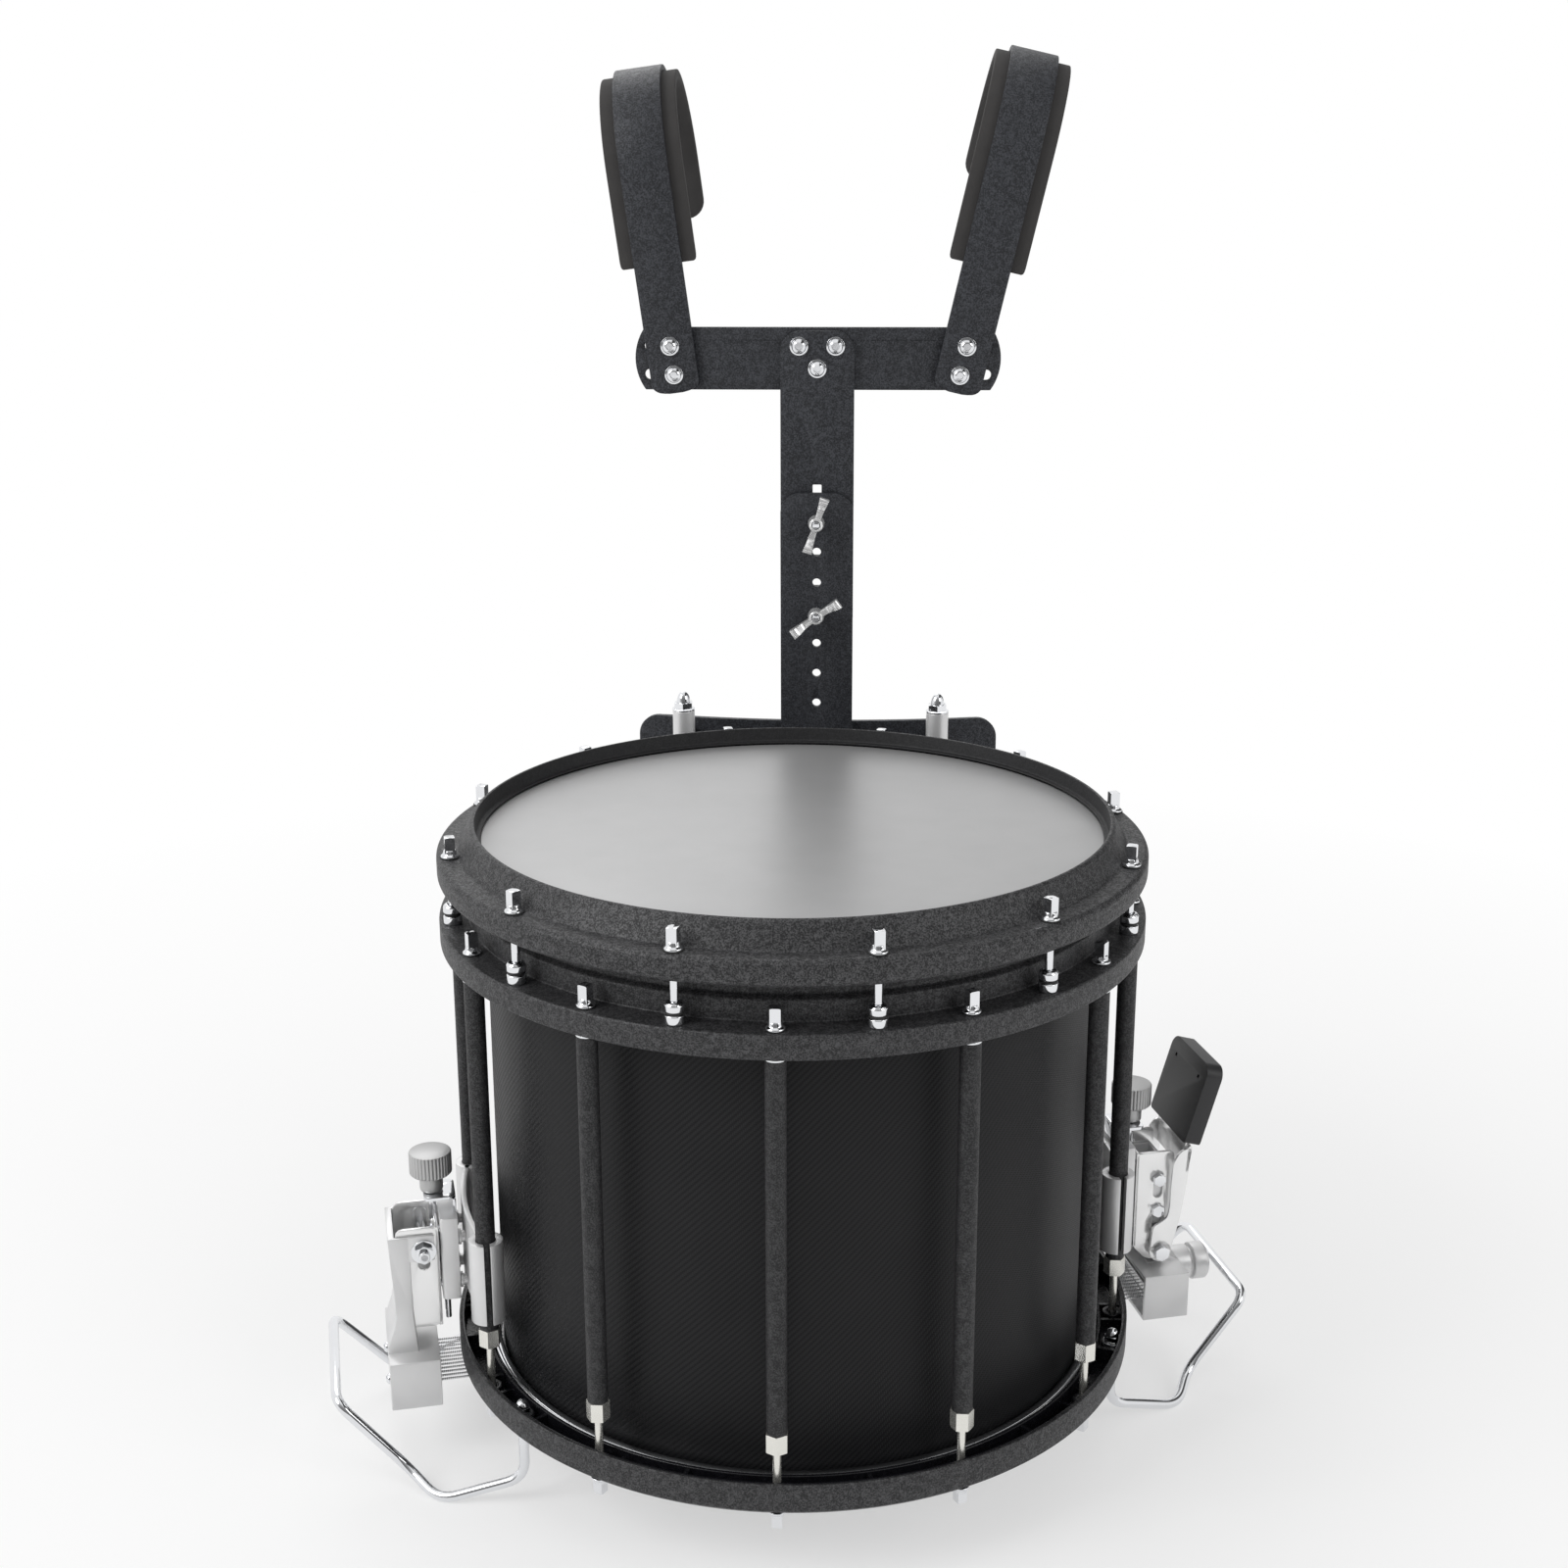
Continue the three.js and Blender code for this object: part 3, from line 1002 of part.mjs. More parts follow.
// Belly plate and its pad, both curved round the player's front
function bellyLayer(outer, inner, inset) {
  const centre = rearLayer + belly.radius;
  const sweep = Math.asin((belly.halfWidth + overrun) / inner);
  const plan = new THREE.Shape();
  plan.absarc(0, centre, outer, -quarterTurn - sweep, -quarterTurn + sweep);
  plan.absarc(0, centre, inner, -quarterTurn + sweep, -quarterTurn - sweep, true);
  const low = belly.bottom + inset;
  const high = belly.bottom + belly.height - inset;
  const layer = solidOf(extruded(plan, high - low, belly.steps).translate(0, 0, low));
  const face = roundedOutline(belly.halfWidth - inset, low, high, belly.corner, belly.corner);
  const depth = belly.radius - Math.sqrt(belly.radius ** 2 - belly.halfWidth ** 2) + outer - inner;
  return layer.intersect(solidOf(standing(face, rearLayer - overrun, 2 * depth, 2)));
}

// The hook rods stand just inside the two long tubes on either side of the drum's back
const bellyTop = belly.bottom + belly.height;
const sleeveBottom = bellyTop - hook.sleeveDrop;
const sleeveTop = bellyTop + hook.sleeveRise;
const hookSide = boltRadius * Math.sin(radians(stationStep)) - hook.tubeClear;
const hookPlaces = [
  { name: 'left', x: hook.shift - hookSide },
  { name: 'right', x: hook.shift + hookSide },
];
let bellySolid = bellyLayer(belly.radius, belly.radius - carrier.plate, 0);
for (const { x } of hookPlaces) {
  const sag = belly.radius - Math.sqrt(belly.radius ** 2 - (hookSide - hook.webHalf) ** 2);
  bellySolid = bellySolid.add(join(
    pillar(hook.sleeveRadius, sleeveBottom, sleeveTop, 12).translate(x, -hook.inset, 0),
    slab(x - hook.webHalf, x + hook.webHalf, -hook.inset, rearLayer + sag + carrier.plate, sleeveBottom,
      bellyTop - belly.corner / 2),
  ));
  bellySolid = cut(bellySolid, pillar(hook.radius + gap, sleeveBottom - overrun, sleeveTop + overrun, 12)
    .translate(x, -hook.inset, 0));
}
addPiece(harness, 'belly_plate', bellySolid, 'crinkle');
const padOuter = belly.radius - carrier.plate - gap;
addPiece(harness, 'belly_pad', bellyLayer(padOuter, padOuter - belly.padWall, belly.padInset), 'foam');

// Hook rods: each hangs in its sleeve by a domed nut and hooks forward under the edge ring
function hookRodSolid(x) {
  const armHeight = -gap - hook.radius;
  const nutBottom = sleeveTop + gap;
  const nutCrown = nutBottom + hook.nutHeight;
  const route = [
    [x, -hook.inset, nutBottom + overrun], [x, -hook.inset, armHeight], [x, -hook.inset - hook.reach, armHeight],
  ];
  const nut = pillar(hook.nutRadius, nutBottom, nutCrown, 6);
  const dome = post(hook.radius + gap, hook.radius / 2, nutCrown - gap, nutCrown + hook.domeHeight, 10);
  return join(
    wireAlong(route, hook.bend, hook.bendSteps, hook.radius, hook.sides),
    nut.translate(x, -hook.inset, 0), dome.translate(x, -hook.inset, 0),
  );
}

for (const { name, x } of hookPlaces) {
  addPiece(harness, 'hook_rod_' + name, hookRodSolid(x), 'chrome');
}

// Stand the whole on the floor, with the middle of its footprint over the origin
const part = new THREE.Group();
part.add(drum);
const bounds = new THREE.Box3().setFromObject(part, true);
const middlePlace = bounds.getCenter(new THREE.Vector3());
drum.position.set(-middlePlace.x, -middlePlace.y, -bounds.min.z);

export default part;
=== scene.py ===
import bpy
import bmesh
import math
from mathutils import Matrix, Vector
from mathutils.geometry import tessellate_polygon


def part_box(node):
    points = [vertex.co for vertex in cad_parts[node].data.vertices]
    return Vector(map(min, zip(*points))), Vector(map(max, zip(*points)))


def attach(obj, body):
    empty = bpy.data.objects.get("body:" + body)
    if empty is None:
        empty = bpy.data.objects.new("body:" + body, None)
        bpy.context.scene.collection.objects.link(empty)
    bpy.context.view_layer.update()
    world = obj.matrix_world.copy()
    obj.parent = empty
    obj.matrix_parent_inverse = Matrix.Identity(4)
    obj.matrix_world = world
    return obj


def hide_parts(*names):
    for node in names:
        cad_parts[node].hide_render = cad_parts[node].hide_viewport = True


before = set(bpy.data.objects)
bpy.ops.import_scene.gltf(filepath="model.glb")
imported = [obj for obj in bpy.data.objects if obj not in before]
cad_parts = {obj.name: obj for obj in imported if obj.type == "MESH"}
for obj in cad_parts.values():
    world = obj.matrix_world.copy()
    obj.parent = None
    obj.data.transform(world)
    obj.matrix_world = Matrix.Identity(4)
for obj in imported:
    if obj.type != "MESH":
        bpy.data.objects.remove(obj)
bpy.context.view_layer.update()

# Marching snare drum with its shoulder carrier. Pieces are drawn in millimetres, in the frame of
# what carries them, and become metres when they are made.

# Camera at the photograph's place
view = {
    "location": (0.051855, -1.277225, 0.745393), "right": (0.998908, 0.046656, -0.002415),
    "up": (-0.01095, 0.28407, 0.958741), "forward": (-0.045417, 0.957668, -0.284271), "lens": 49.634,
}
camera = bpy.data.objects.new("camera", bpy.data.cameras.new("camera"))
camera.data.lens = view["lens"]
camera.data.clip_end = 20
turn = Matrix((view["right"], view["up"], [-part for part in view["forward"]])).transposed().to_4x4()
camera.matrix_world = Matrix.Translation(view["location"]) @ turn
bpy.context.scene.collection.objects.link(camera)
bpy.context.scene.camera = camera
bpy.context.scene.view_settings.view_transform = "Standard"
print("camera set")


# Shader maths: a socket that can be added, multiplied and so on
class Wire:
    def __init__(self, paint, socket):
        self.paint = paint
        self.socket = socket

    def maths(self, operation, *others):
        return self.paint.node("ShaderNodeMath", {"operation": operation}, [self, *others])

    def __add__(self, other):
        return self.maths("ADD", other)

    def __radd__(self, other):
        return self.maths("ADD", other)

    def __sub__(self, other):
        return self.maths("SUBTRACT", other)

    def __rsub__(self, other):
        return self.paint.node("ShaderNodeMath", {"operation": "SUBTRACT"}, [other, self])

    def __mul__(self, other):
        return self.maths("MULTIPLY", other)

    def __rmul__(self, other):
        return self.maths("MULTIPLY", other)

    def __truediv__(self, other):
        return self.maths("DIVIDE", other)

    def __mod__(self, other):
        return self.maths("FLOORED_MODULO", other)

    def __lt__(self, other):
        return self.maths("LESS_THAN", other)


class Paint:
    def __init__(self, name, world=False):
        self.holder = (bpy.data.worlds if world else bpy.data.materials).new(name)
        self.holder.use_nodes = True
        self.tree = self.holder.node_tree
        self.shader = self.tree.nodes.get("Principled BSDF")

    def feed(self, socket, value):
        if isinstance(value, Wire):
            self.tree.links.new(value.socket, socket)
        elif socket.type == "RGBA" and len(value) == 3:
            socket.default_value = (*value, 1)
        else:
            socket.default_value = value

    def node(self, kind, settings=None, inputs=None, output=0):
        made = self.tree.nodes.new(kind)
        for name, value in (settings or {}).items():
            if name == "stops":
                while len(made.color_ramp.elements) < len(value):
                    made.color_ramp.elements.new(1)
                for element, (place, level) in zip(made.color_ramp.elements, value):
                    element.position = place
                    element.color = (level, level, level, 1)
            else:
                setattr(made, name, value)
        for name, value in inputs.items() if isinstance(inputs, dict) else enumerate(inputs or []):
            self.feed(made.inputs[name], value)
        return Wire(self, made.outputs[output])

    def place(self):
        return self.node("ShaderNodeTexCoord", output="Object")

    def noise(self, place, scale, detail=3, roughness=0.55):
        return self.node("ShaderNodeTexNoise", None, {
            "Vector": place, "Scale": scale, "Detail": detail, "Roughness": roughness})

    def ramp(self, factor, *stops):
        return self.node("ShaderNodeValToRGB", {"stops": stops}, [factor])

    def blend(self, factor, low, high):
        return self.node("ShaderNodeMix", {"data_type": "RGBA"}, {0: factor, 6: low, 7: high}, 2)

    def bump(self, height, strength, distance):
        return self.node("ShaderNodeBump", None, {"Height": height, "Strength": strength, "Distance": distance})

    def finish(self, **values):
        for name, value in values.items():
            self.feed(self.shader.inputs[name.replace("_", " ")], value)
        return self.holder


# Hammered powder coat: fine mottled specks on a black-grey ground
# Besides the speckle's spread and shine, this holds how far the speckle is damped to paint shade on a hoop's inner
# wall
speckle = {"grainShare": 0.75, "from": 0.44, "to": 0.6, "innerShade": 0.85, "shine": -0.14, "relief": 0.0004}


def coatFinish(name, look):
    paint = Paint(name)
    place = paint.place()
    grain = paint.noise(place, look["grain"], 4, 0.62)
    clumps = paint.noise(place, look["clumps"], 2)
    mixed = grain * speckle["grainShare"] + clumps * (1 - speckle["grainShare"])
    mask = paint.ramp(mixed, (speckle["from"], 0), (speckle["to"], 1))
    if "inside" in look:  # nearer to the drum's axis than this, the speckle is damped and the coat darkened: painted shade on the hoop's inner wall
        split = paint.node("ShaderNodeSeparateXYZ", None, [place]).socket.node
        away = [Wire(paint, split.outputs[i]) - look["axis"][i] for i in (0, 1)]
        near = away[0] * away[0] + away[1] * away[1] < look["inside"] ** 2
        mask = mask * (1 - near * speckle["innerShade"])
    return paint.finish(
        Base_Color=paint.blend(mask, look["dark"], look["light"]), Metallic=look["metal"],
        Roughness=mask * speckle["shine"] + look["rough"],
        Normal=paint.bump(grain + clumps * 0.5, look["bump"], speckle["relief"]))


# Bare and plated metal: a fine grain in colour and gloss
def metalFinish(name, look):
    paint = Paint(name)
    place = paint.place()
    grain = paint.noise(place, look["grain"], 3)
    haze = paint.noise(place, 40, 2)
    return paint.finish(
        Base_Color=paint.blend(haze, look["dark"], look["light"]), Metallic=look["metal"],
        Roughness=grain * look["spread"] + look["rough"], Normal=paint.bump(grain, look["bump"], 0.0002))


# Moulded and foamed plastic
def plasticFinish(name, look):
    paint = Paint(name)
    place = paint.place()
    grain = paint.noise(place, look["grain"], 3)
    broad = paint.noise(place, look["broad"], 2)
    return paint.finish(
        Base_Color=paint.blend(grain * 0.6 + broad * 0.4, look["dark"], look["light"]),
        Roughness=grain * 0.1 + look["rough"], Normal=paint.bump(grain, look["bump"], 0.0003))


# Twill woven round the shell: two tows over, two under, a step aside in every row
def carbonFinish(name, look, axis):
    paint = Paint(name)
    split = paint.node("ShaderNodeSeparateXYZ", None, [paint.place()])
    across, along, up = [Wire(paint, split.socket.node.outputs[i]) for i in range(3)]
    around = (across - axis[0]).maths("ARCTAN2", axis[1] - along) * (look["radius"] / look["tow"])
    row = up / look["tow"]
    over = (row.maths("FLOOR") - around.maths("FLOOR")) % 4 < 2
    crown = [1 - (tow % 1 * 2 - 1).maths("POWER", 2) for tow in (around, row)]
    height = over * crown[0] + (1 - over) * crown[1]
    drift = paint.noise(paint.place(), 18, 2)
    return paint.finish(
        Base_Color=paint.blend(over * 0.6 + drift * 0.4, look["dark"], look["light"]),
        Roughness=over * 0.1 + look["rough"], Specular_IOR_Level=look["gloss"],
        Normal=paint.bump(height, look["bump"], 0.0001))


# Closely coiled snare wire: the coils run across its length
def coilFinish(name, look, along):
    paint = Paint(name)
    run = paint.node("ShaderNodeVectorMath", {"operation": "DOT_PRODUCT"}, [paint.place(), along], 1)
    coil = (run * (2 * math.pi / look["pitch"])).maths("SINE")
    return paint.finish(
        Base_Color=paint.blend(coil * 0.5 + 0.5, look["dark"], look["light"]), Metallic=1.0,
        Roughness=coil * 0.04 + look["rough"], Normal=paint.bump(coil, look["bump"], 0.0002))


low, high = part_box("shell")
drumAxis = ((low.x + high.x) / 2, (low.y + high.y) / 2)
drumFoot = low.z
snareAngle = math.radians(-75)
snareRun = (math.sin(snareAngle), -math.cos(snareAngle), 0)

finishes = {
    "crinkle": coatFinish("blackCrinkleCoat", {
        "grain": 1150, "clumps": 330, "dark": (0.011, 0.011, 0.012), "light": (0.07, 0.07, 0.073),
        "metal": 0.2, "rough": 0.58, "bump": 0.5}),
    # The hoop's coat gets painted shade inside the radius given as inside: darker, with less speckle
    "hoopCoat": coatFinish("hoopCrinkleCoat", {
        "grain": 1150, "clumps": 330, "dark": (0.008, 0.008, 0.009), "light": (0.078, 0.078, 0.081),
        "metal": 0.2, "rough": 0.6, "bump": 0.5, "inside": 0.1823, "axis": drumAxis}),
    "tubeCoat": coatFinish("tubeCrinkleCoat", {
        "grain": 1250, "clumps": 260, "dark": (0.007, 0.007, 0.008), "light": (0.042, 0.042, 0.044),
        "metal": 0.15, "rough": 0.62, "bump": 0.4}),
    "turned": metalFinish("turnedAluminium", {
        "grain": 900, "dark": (0.44, 0.44, 0.44), "light": (0.52, 0.52, 0.52), "metal": 0.6, "rough": 0.36,
        "spread": 0.08, "bump": 0.04}),
    "carrierCoat": coatFinish("blueBlackCoat", {
        "grain": 1050, "clumps": 300, "dark": (0.01, 0.011, 0.014), "light": (0.05, 0.053, 0.062),
        "metal": 0.2, "rough": 0.58, "bump": 0.5}),
    "gutter": coatFinish("glossBlackCoat", {
        "grain": 500, "clumps": 90, "dark": (0.006, 0.006, 0.008), "light": (0.013, 0.013, 0.016),
        "metal": 0.2, "rough": 0.3, "bump": 0.08}),
    "carbon": carbonFinish("carbonTwill", {
        "tow": 0.00095, "radius": 0.1778, "dark": (0.003, 0.003, 0.004), "light": (0.019, 0.019, 0.02),
        "rough": 0.4, "gloss": 0.18, "bump": 0.8}, drumAxis),
    "film": metalFinish("silverHeadFilm", {
        "grain": 900, "dark": (0.37, 0.37, 0.372), "light": (0.41, 0.41, 0.412), "metal": 0.5, "rough": 0.3,
        "spread": 0.12, "bump": 0.04}),
    "chrome": metalFinish("chromePlate", {
        "grain": 300, "dark": (0.74, 0.75, 0.77), "light": (0.82, 0.83, 0.85), "metal": 1.0, "rough": 0.05,
        "spread": 0.08, "bump": 0.02}),
    "nickel": metalFinish("nickelPlate", {
        "grain": 400, "dark": (0.76, 0.75, 0.7), "light": (0.86, 0.85, 0.8), "metal": 0.85, "rough": 0.24,
        "spread": 0.03, "bump": 0.004}),
    "satin": metalFinish("satinAluminium", {
        "grain": 1200, "dark": (0.66, 0.66, 0.662), "light": (0.74, 0.74, 0.742), "metal": 0.6, "rough": 0.34,
        "spread": 0.14, "bump": 0.08}),
    "polished": metalFinish("polishedSteel", {
        "grain": 300, "dark": (0.84, 0.84, 0.84), "light": (0.9, 0.9, 0.9), "metal": 0.75, "rough": 0.2,
        "spread": 0.02, "bump": 0.004}),
    "rubber": plasticFinish("blackRubber", {
        "grain": 900, "broad": 90, "dark": (0.008, 0.008, 0.008), "light": (0.02, 0.02, 0.02), "rough": 0.6,
        "bump": 0.1}),
    "plastic": plasticFinish("mouldedBlackPlastic", {
        "grain": 2200, "broad": 60, "dark": (0.012, 0.012, 0.013), "light": (0.024, 0.024, 0.026),
        "rough": 0.4, "bump": 0.14}),
    "foam": plasticFinish("charcoalFoam", {
        "grain": 1500, "broad": 70, "dark": (0.022, 0.021, 0.021), "light": (0.055, 0.052, 0.051),
        "rough": 0.86, "bump": 0.5}),
    "clear": plasticFinish("hazyFilm", {
        "grain": 500, "broad": 20, "dark": (0.6, 0.6, 0.61), "light": (0.68, 0.68, 0.69), "rough": 0.24,
        "bump": 0.05}),
    "coil": coilFinish("coiledSteelWire", {
        "pitch": 0.0011, "dark": (0.62, 0.62, 0.63), "light": (0.88, 0.88, 0.89), "rough": 0.26,
        "bump": 0.25}, snareRun),
}
finishes["clear"].node_tree.nodes["Principled BSDF"].inputs["Alpha"].default_value = 0.72
print("finishes made")


# Forms are bmeshes in millimetres
def latheForm(profile, steps=48, ring=False):
    form = bmesh.new()
    turns = [2 * math.pi * i / steps for i in range(steps)]
    rings = []
    for radius, height in profile:
        if radius < 1e-6:
            rings.append([form.verts.new((0, 0, height))])
        else:
            rings.append([form.verts.new((radius * math.cos(t), radius * math.sin(t), height)) for t in turns])
    for one, two in zip(rings, rings[1:] + ([rings[0]] if ring else [])):
        for i in range(steps):
            j = (i + 1) % steps
            if len(one) == 1 and len(two) == 1:
                continue
            if len(one) == 1:
                form.faces.new((one[0], two[j], two[i]))
            elif len(two) == 1:
                form.faces.new((one[i], one[j], two[0]))
            else:
                form.faces.new((one[i], one[j], two[j], two[i]))
    bmesh.ops.recalc_face_normals(form, faces=form.faces)
    return form


# Cuts each corner of a line of points round, as far as its sides allow
def rounded(points, radius, closed=True, steps=3):
    made = []
    count = len(points)
    for i, point in enumerate(points):
        if not closed and i in (0, count - 1):
            made.append(tuple(point))
            continue
        here = Vector(point)
        back, ahead = Vector(points[i - 1]) - here, Vector(points[(i + 1) % count]) - here
        reach = min(radius, back.length * 0.45, ahead.length * 0.45)
        start, end = here + back.normalized() * reach, here + ahead.normalized() * reach
        for step in range(steps + 1):
            share = step / steps
            made.append(tuple(start.lerp(here, share).lerp(here.lerp(end, share), share)))
    return made


def postForm(radius, bottom, top, edge=0.3, sides=32, tip=None):
    tip = radius if tip is None else tip
    corners = [(0, bottom), (radius, bottom), (tip, top), (0, top)]
    return latheForm(rounded(corners, edge, False), sides)


# A washer, collar or sleeve
def washerForm(inner, outer, bottom, top, edge=0.3, sides=32):
    return latheForm(rounded([(inner, bottom), (outer, bottom), (outer, top), (inner, top)], edge), sides, True)


# A nut or head with flat sides, and chamfers that leave scallops on them
def nutForm(sides, flat, bottom, top, chamfer=0.94, slope=0.6, low=True, high=True):
    form = bmesh.new()
    steps = sides * 8
    start = flat / math.cos(math.pi / sides) * chamfer
    rings = [[] for _ in range(4)]
    for i in range(steps):
        bearing = 2 * math.pi * i / steps
        off = (bearing + math.pi / sides) % (2 * math.pi / sides) - math.pi / sides
        reach = flat / math.cos(off)
        drop = slope * max(0, reach - start)
        core = min(reach, start)
        levels = [(core, bottom), (reach, bottom + (drop if low else 0)), (reach, top - (drop if high else 0)),
                  (core, top)]
        for ring, (radius, height) in zip(rings, levels):
            ring.append(form.verts.new((radius * math.cos(bearing), radius * math.sin(bearing), height)))
    for one, two in zip(rings, rings[1:]):
        for i in range(steps):
            j = (i + 1) % steps
            form.faces.new((one[i], one[j], two[j], two[i]))
    form.faces.new(rings[0])
    form.faces.new(rings[-1])
    bmesh.ops.remove_doubles(form, verts=form.verts, dist=1e-4)
    bmesh.ops.recalc_face_normals(form, faces=form.faces)
    return form


# A flat outline, with holes, raised from low to high
def plateForm(outline, low, high, holes=()):
    form = bmesh.new()
    loops = [list(outline), *[list(hole) for hole in holes]]
    flat = [point for loop in loops for point in loop]
    layers = [[form.verts.new((x, y, z)) for x, y in flat] for z in (low, high)]
    for triple in tessellate_polygon([[Vector((x, y, 0)) for x, y in loop] for loop in loops]):
        for layer in layers:
            form.faces.new([layer[i] for i in triple])
    first = 0
    for loop in loops:
        for i in range(len(loop)):
            a, b = first + i, first + (i + 1) % len(loop)
            form.faces.new((layers[0][a], layers[0][b], layers[1][b], layers[1][a]))
        first += len(loop)
    bmesh.ops.dissolve_limit(form, angle_limit=0.001, verts=form.verts, edges=form.edges)
    bmesh.ops.recalc_face_normals(form, faces=form.faces)
    return form


def slabForm(lowX, highX, lowY, highY, low, high):
    return plateForm([(lowX, lowY), (highX, lowY), (highX, highY), (lowX, highY)], low, high)


def arcPoints(x, y, radius, start, end, steps):
    turns = [math.radians(start + (end - start) * i / steps) for i in range(steps + 1)]
    return [(x + radius * math.cos(t), y + radius * math.sin(t)) for t in turns]


def circle(x, y, radius, steps=24):
    return arcPoints(x, y, radius, 0, 360, steps)[:-1]


def roundBox(half, low, high, lowCorner, highCorner, steps=8):
    return (arcPoints(half - lowCorner, low + lowCorner, lowCorner, -90, 0, steps)
            + arcPoints(half - highCorner, high - highCorner, highCorner, 0, 90, steps)
            + arcPoints(highCorner - half, high - highCorner, highCorner, 90, 180, steps)
            + arcPoints(lowCorner - half, low + lowCorner, lowCorner, 180, 270, steps))


def placed(form, matrix):
    bmesh.ops.transform(form, matrix=matrix, verts=form.verts)
    if matrix.determinant() < 0:
        bmesh.ops.reverse_faces(form, faces=form.faces)
    return form


shift = lambda x=0, y=0, z=0: Matrix.Translation((x, y, z))
spin = lambda degrees, axis="Z": Matrix.Rotation(math.radians(degrees), 4, axis)
standUp = Matrix(((1, 0, 0, 0), (0, 0, 1, 0), (0, 1, 0, 0), (0, 0, 0, 1)))  # drawn in X and Z, raised along Y
layAlongY = spin(-90, "X")
layAlongX = spin(90, "Y")


def standing(outline, front, back, holes=()):
    return placed(plateForm(outline, front, back, holes), standUp)


def lying(form, x, z):
    return placed(form, shift(x, 0, z) @ layAlongY)


def joined(*forms):
    whole = forms[0]
    for form in forms[1:]:
        spare = bpy.data.meshes.new("spare")
        form.to_mesh(spare)
        whole.from_mesh(spare)
        bpy.data.meshes.remove(spare)
        form.free()
    return whole


# Runs modifiers on a form, given as a type and its settings each
def worked(form, *modifiers):
    mesh = bpy.data.meshes.new("worked")
    form.to_mesh(mesh)
    form.free()
    holder = bpy.data.objects.new("worked", mesh)
    bpy.context.scene.collection.objects.link(holder)
    for kind, settings in modifiers:
        modifier = holder.modifiers.new(kind, kind)
        for name, value in settings.items():
            setattr(modifier, name, value)
    bpy.context.view_layer.update()
    made = bmesh.new()
    made.from_object(holder, bpy.context.evaluated_depsgraph_get())
    bpy.data.objects.remove(holder)
    bpy.data.meshes.remove(mesh)
    return made


def carved(form, *cutters):
    for cutter in cutters:
        mesh = bpy.data.meshes.new("cutter")
        cutter.to_mesh(mesh)
        cutter.free()
        tool = bpy.data.objects.new("cutter", mesh)
        bpy.context.scene.collection.objects.link(tool)
        form = worked(form, ("BOOLEAN", {"operation": "DIFFERENCE", "solver": "EXACT", "object": tool}))
        bpy.data.objects.remove(tool)
        bpy.data.meshes.remove(mesh)
    return form


def softened(form, width=0.4, segments=2, angle=38):
    return worked(form, ("BEVEL", {
        "width": width, "segments": segments, "limit_method": "ANGLE", "angle_limit": math.radians(angle),
        "miter_outer": "MITER_ARC"}))


# A round wire along straight runs with rounded bends
def wireForm(route, bend, radius, sides=20, bendSteps=8):
    points = [Vector(point) for point in rounded(route, bend / 0.9, False, bendSteps)]
    form = bmesh.new()
    side = None
    rings = []
    for i, point in enumerate(points):
        ahead = (points[min(i + 1, len(points) - 1)] - points[max(i - 1, 0)]).normalized()
        if side is None:
            side = ahead.orthogonal().normalized()
        side = (side - ahead * side.dot(ahead)).normalized()
        other = ahead.cross(side)
        rings.append([form.verts.new(point + radius * (math.cos(t) * side + math.sin(t) * other))
                      for t in (2 * math.pi * k / sides for k in range(sides))])
    for one, two in zip(rings, rings[1:]):
        for k in range(sides):
            form.faces.new((one[k], one[(k + 1) % sides], two[(k + 1) % sides], two[k]))
    form.faces.new(rings[0])
    form.faces.new(rings[-1])
    bmesh.ops.recalc_face_normals(form, faces=form.faces)
    return form


# Makes one piece from forms and their finishes, and lets it ride
def addPiece(name, body, parts, matrix, replaces=(), sharp=34):
    mesh = bpy.data.meshes.new(name)
    whole = bmesh.new()
    for index, (form, finish) in enumerate(parts):
        for face in form.faces:
            face.material_index = index
        spare = bpy.data.meshes.new("spare")
        form.to_mesh(spare)
        form.free()
        whole.from_mesh(spare)
        bpy.data.meshes.remove(spare)
        mesh.materials.append(finishes[finish])
    placed(whole, Matrix.Scale(0.001, 4) @ matrix)
    for face in whole.faces:
        face.smooth = True
    for edge in whole.edges:
        edge.smooth = len(edge.link_faces) == 2 and edge.calc_face_angle() < math.radians(sharp)
    whole.to_mesh(mesh)
    whole.free()
    made = bpy.data.objects.new(name, mesh)
    bpy.context.scene.collection.objects.link(made)
    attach(made, body)
    if replaces:
        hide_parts(*replaces)
    return made


# Places, in millimetres
drum = {"radius": 177.8, "height": 317.3, "boltReach": 19, "edge": 7.5, "rodHole": 2.7, "stations": 12, "steps": 240}
boltRadius = drum["radius"] + drum["boltReach"]
rimRadius = boltRadius + drum["edge"]
drumPlace = shift(drumAxis[0] * 1000, drumAxis[1] * 1000, drumFoot * 1000)
upperPlace = drumPlace @ shift(z=drum["height"])
stationStep = 360 / drum["stations"]


# Own X points out from the drum, at a direction counted from the front
def outward(angle, radius):
    bearing = math.radians(angle)
    return shift(radius * math.sin(bearing), -radius * math.cos(bearing)) @ spin(angle - 90)


def onStations(makeForm, half):
    forms = [placed(makeForm(), outward(stationStep * (i + half), boltRadius)) for i in range(drum["stations"])]
    return joined(*forms)


# A closed profile turned round the drum's axis
def drumRing(profile, edge, cornerSteps=3):
    return latheForm(rounded(profile, edge, steps=cornerSteps), drum["steps"], True)


# Holes for the rods, on the stations counted from the first or half a step on
def drilled(form, bottom, top, *halves):
    hole = lambda: postForm(drum["rodHole"], bottom, top, 0.1, 20)
    return carved(form, *[onStations(hole, half) for half in halves])


# Shell and heads
wall = drum["radius"] - 6
bevel = drum["radius"] - 2.5
shellForm = drumRing([
    (wall, 0), (bevel, 0), (drum["radius"], 2.5), (drum["radius"], drum["height"] - 2.5), (bevel, drum["height"]),
    (wall, drum["height"])], 0.5)
addPiece("shell_skin", "drum", [(shellForm, "carbon")], drumPlace, ["shell"], 30)

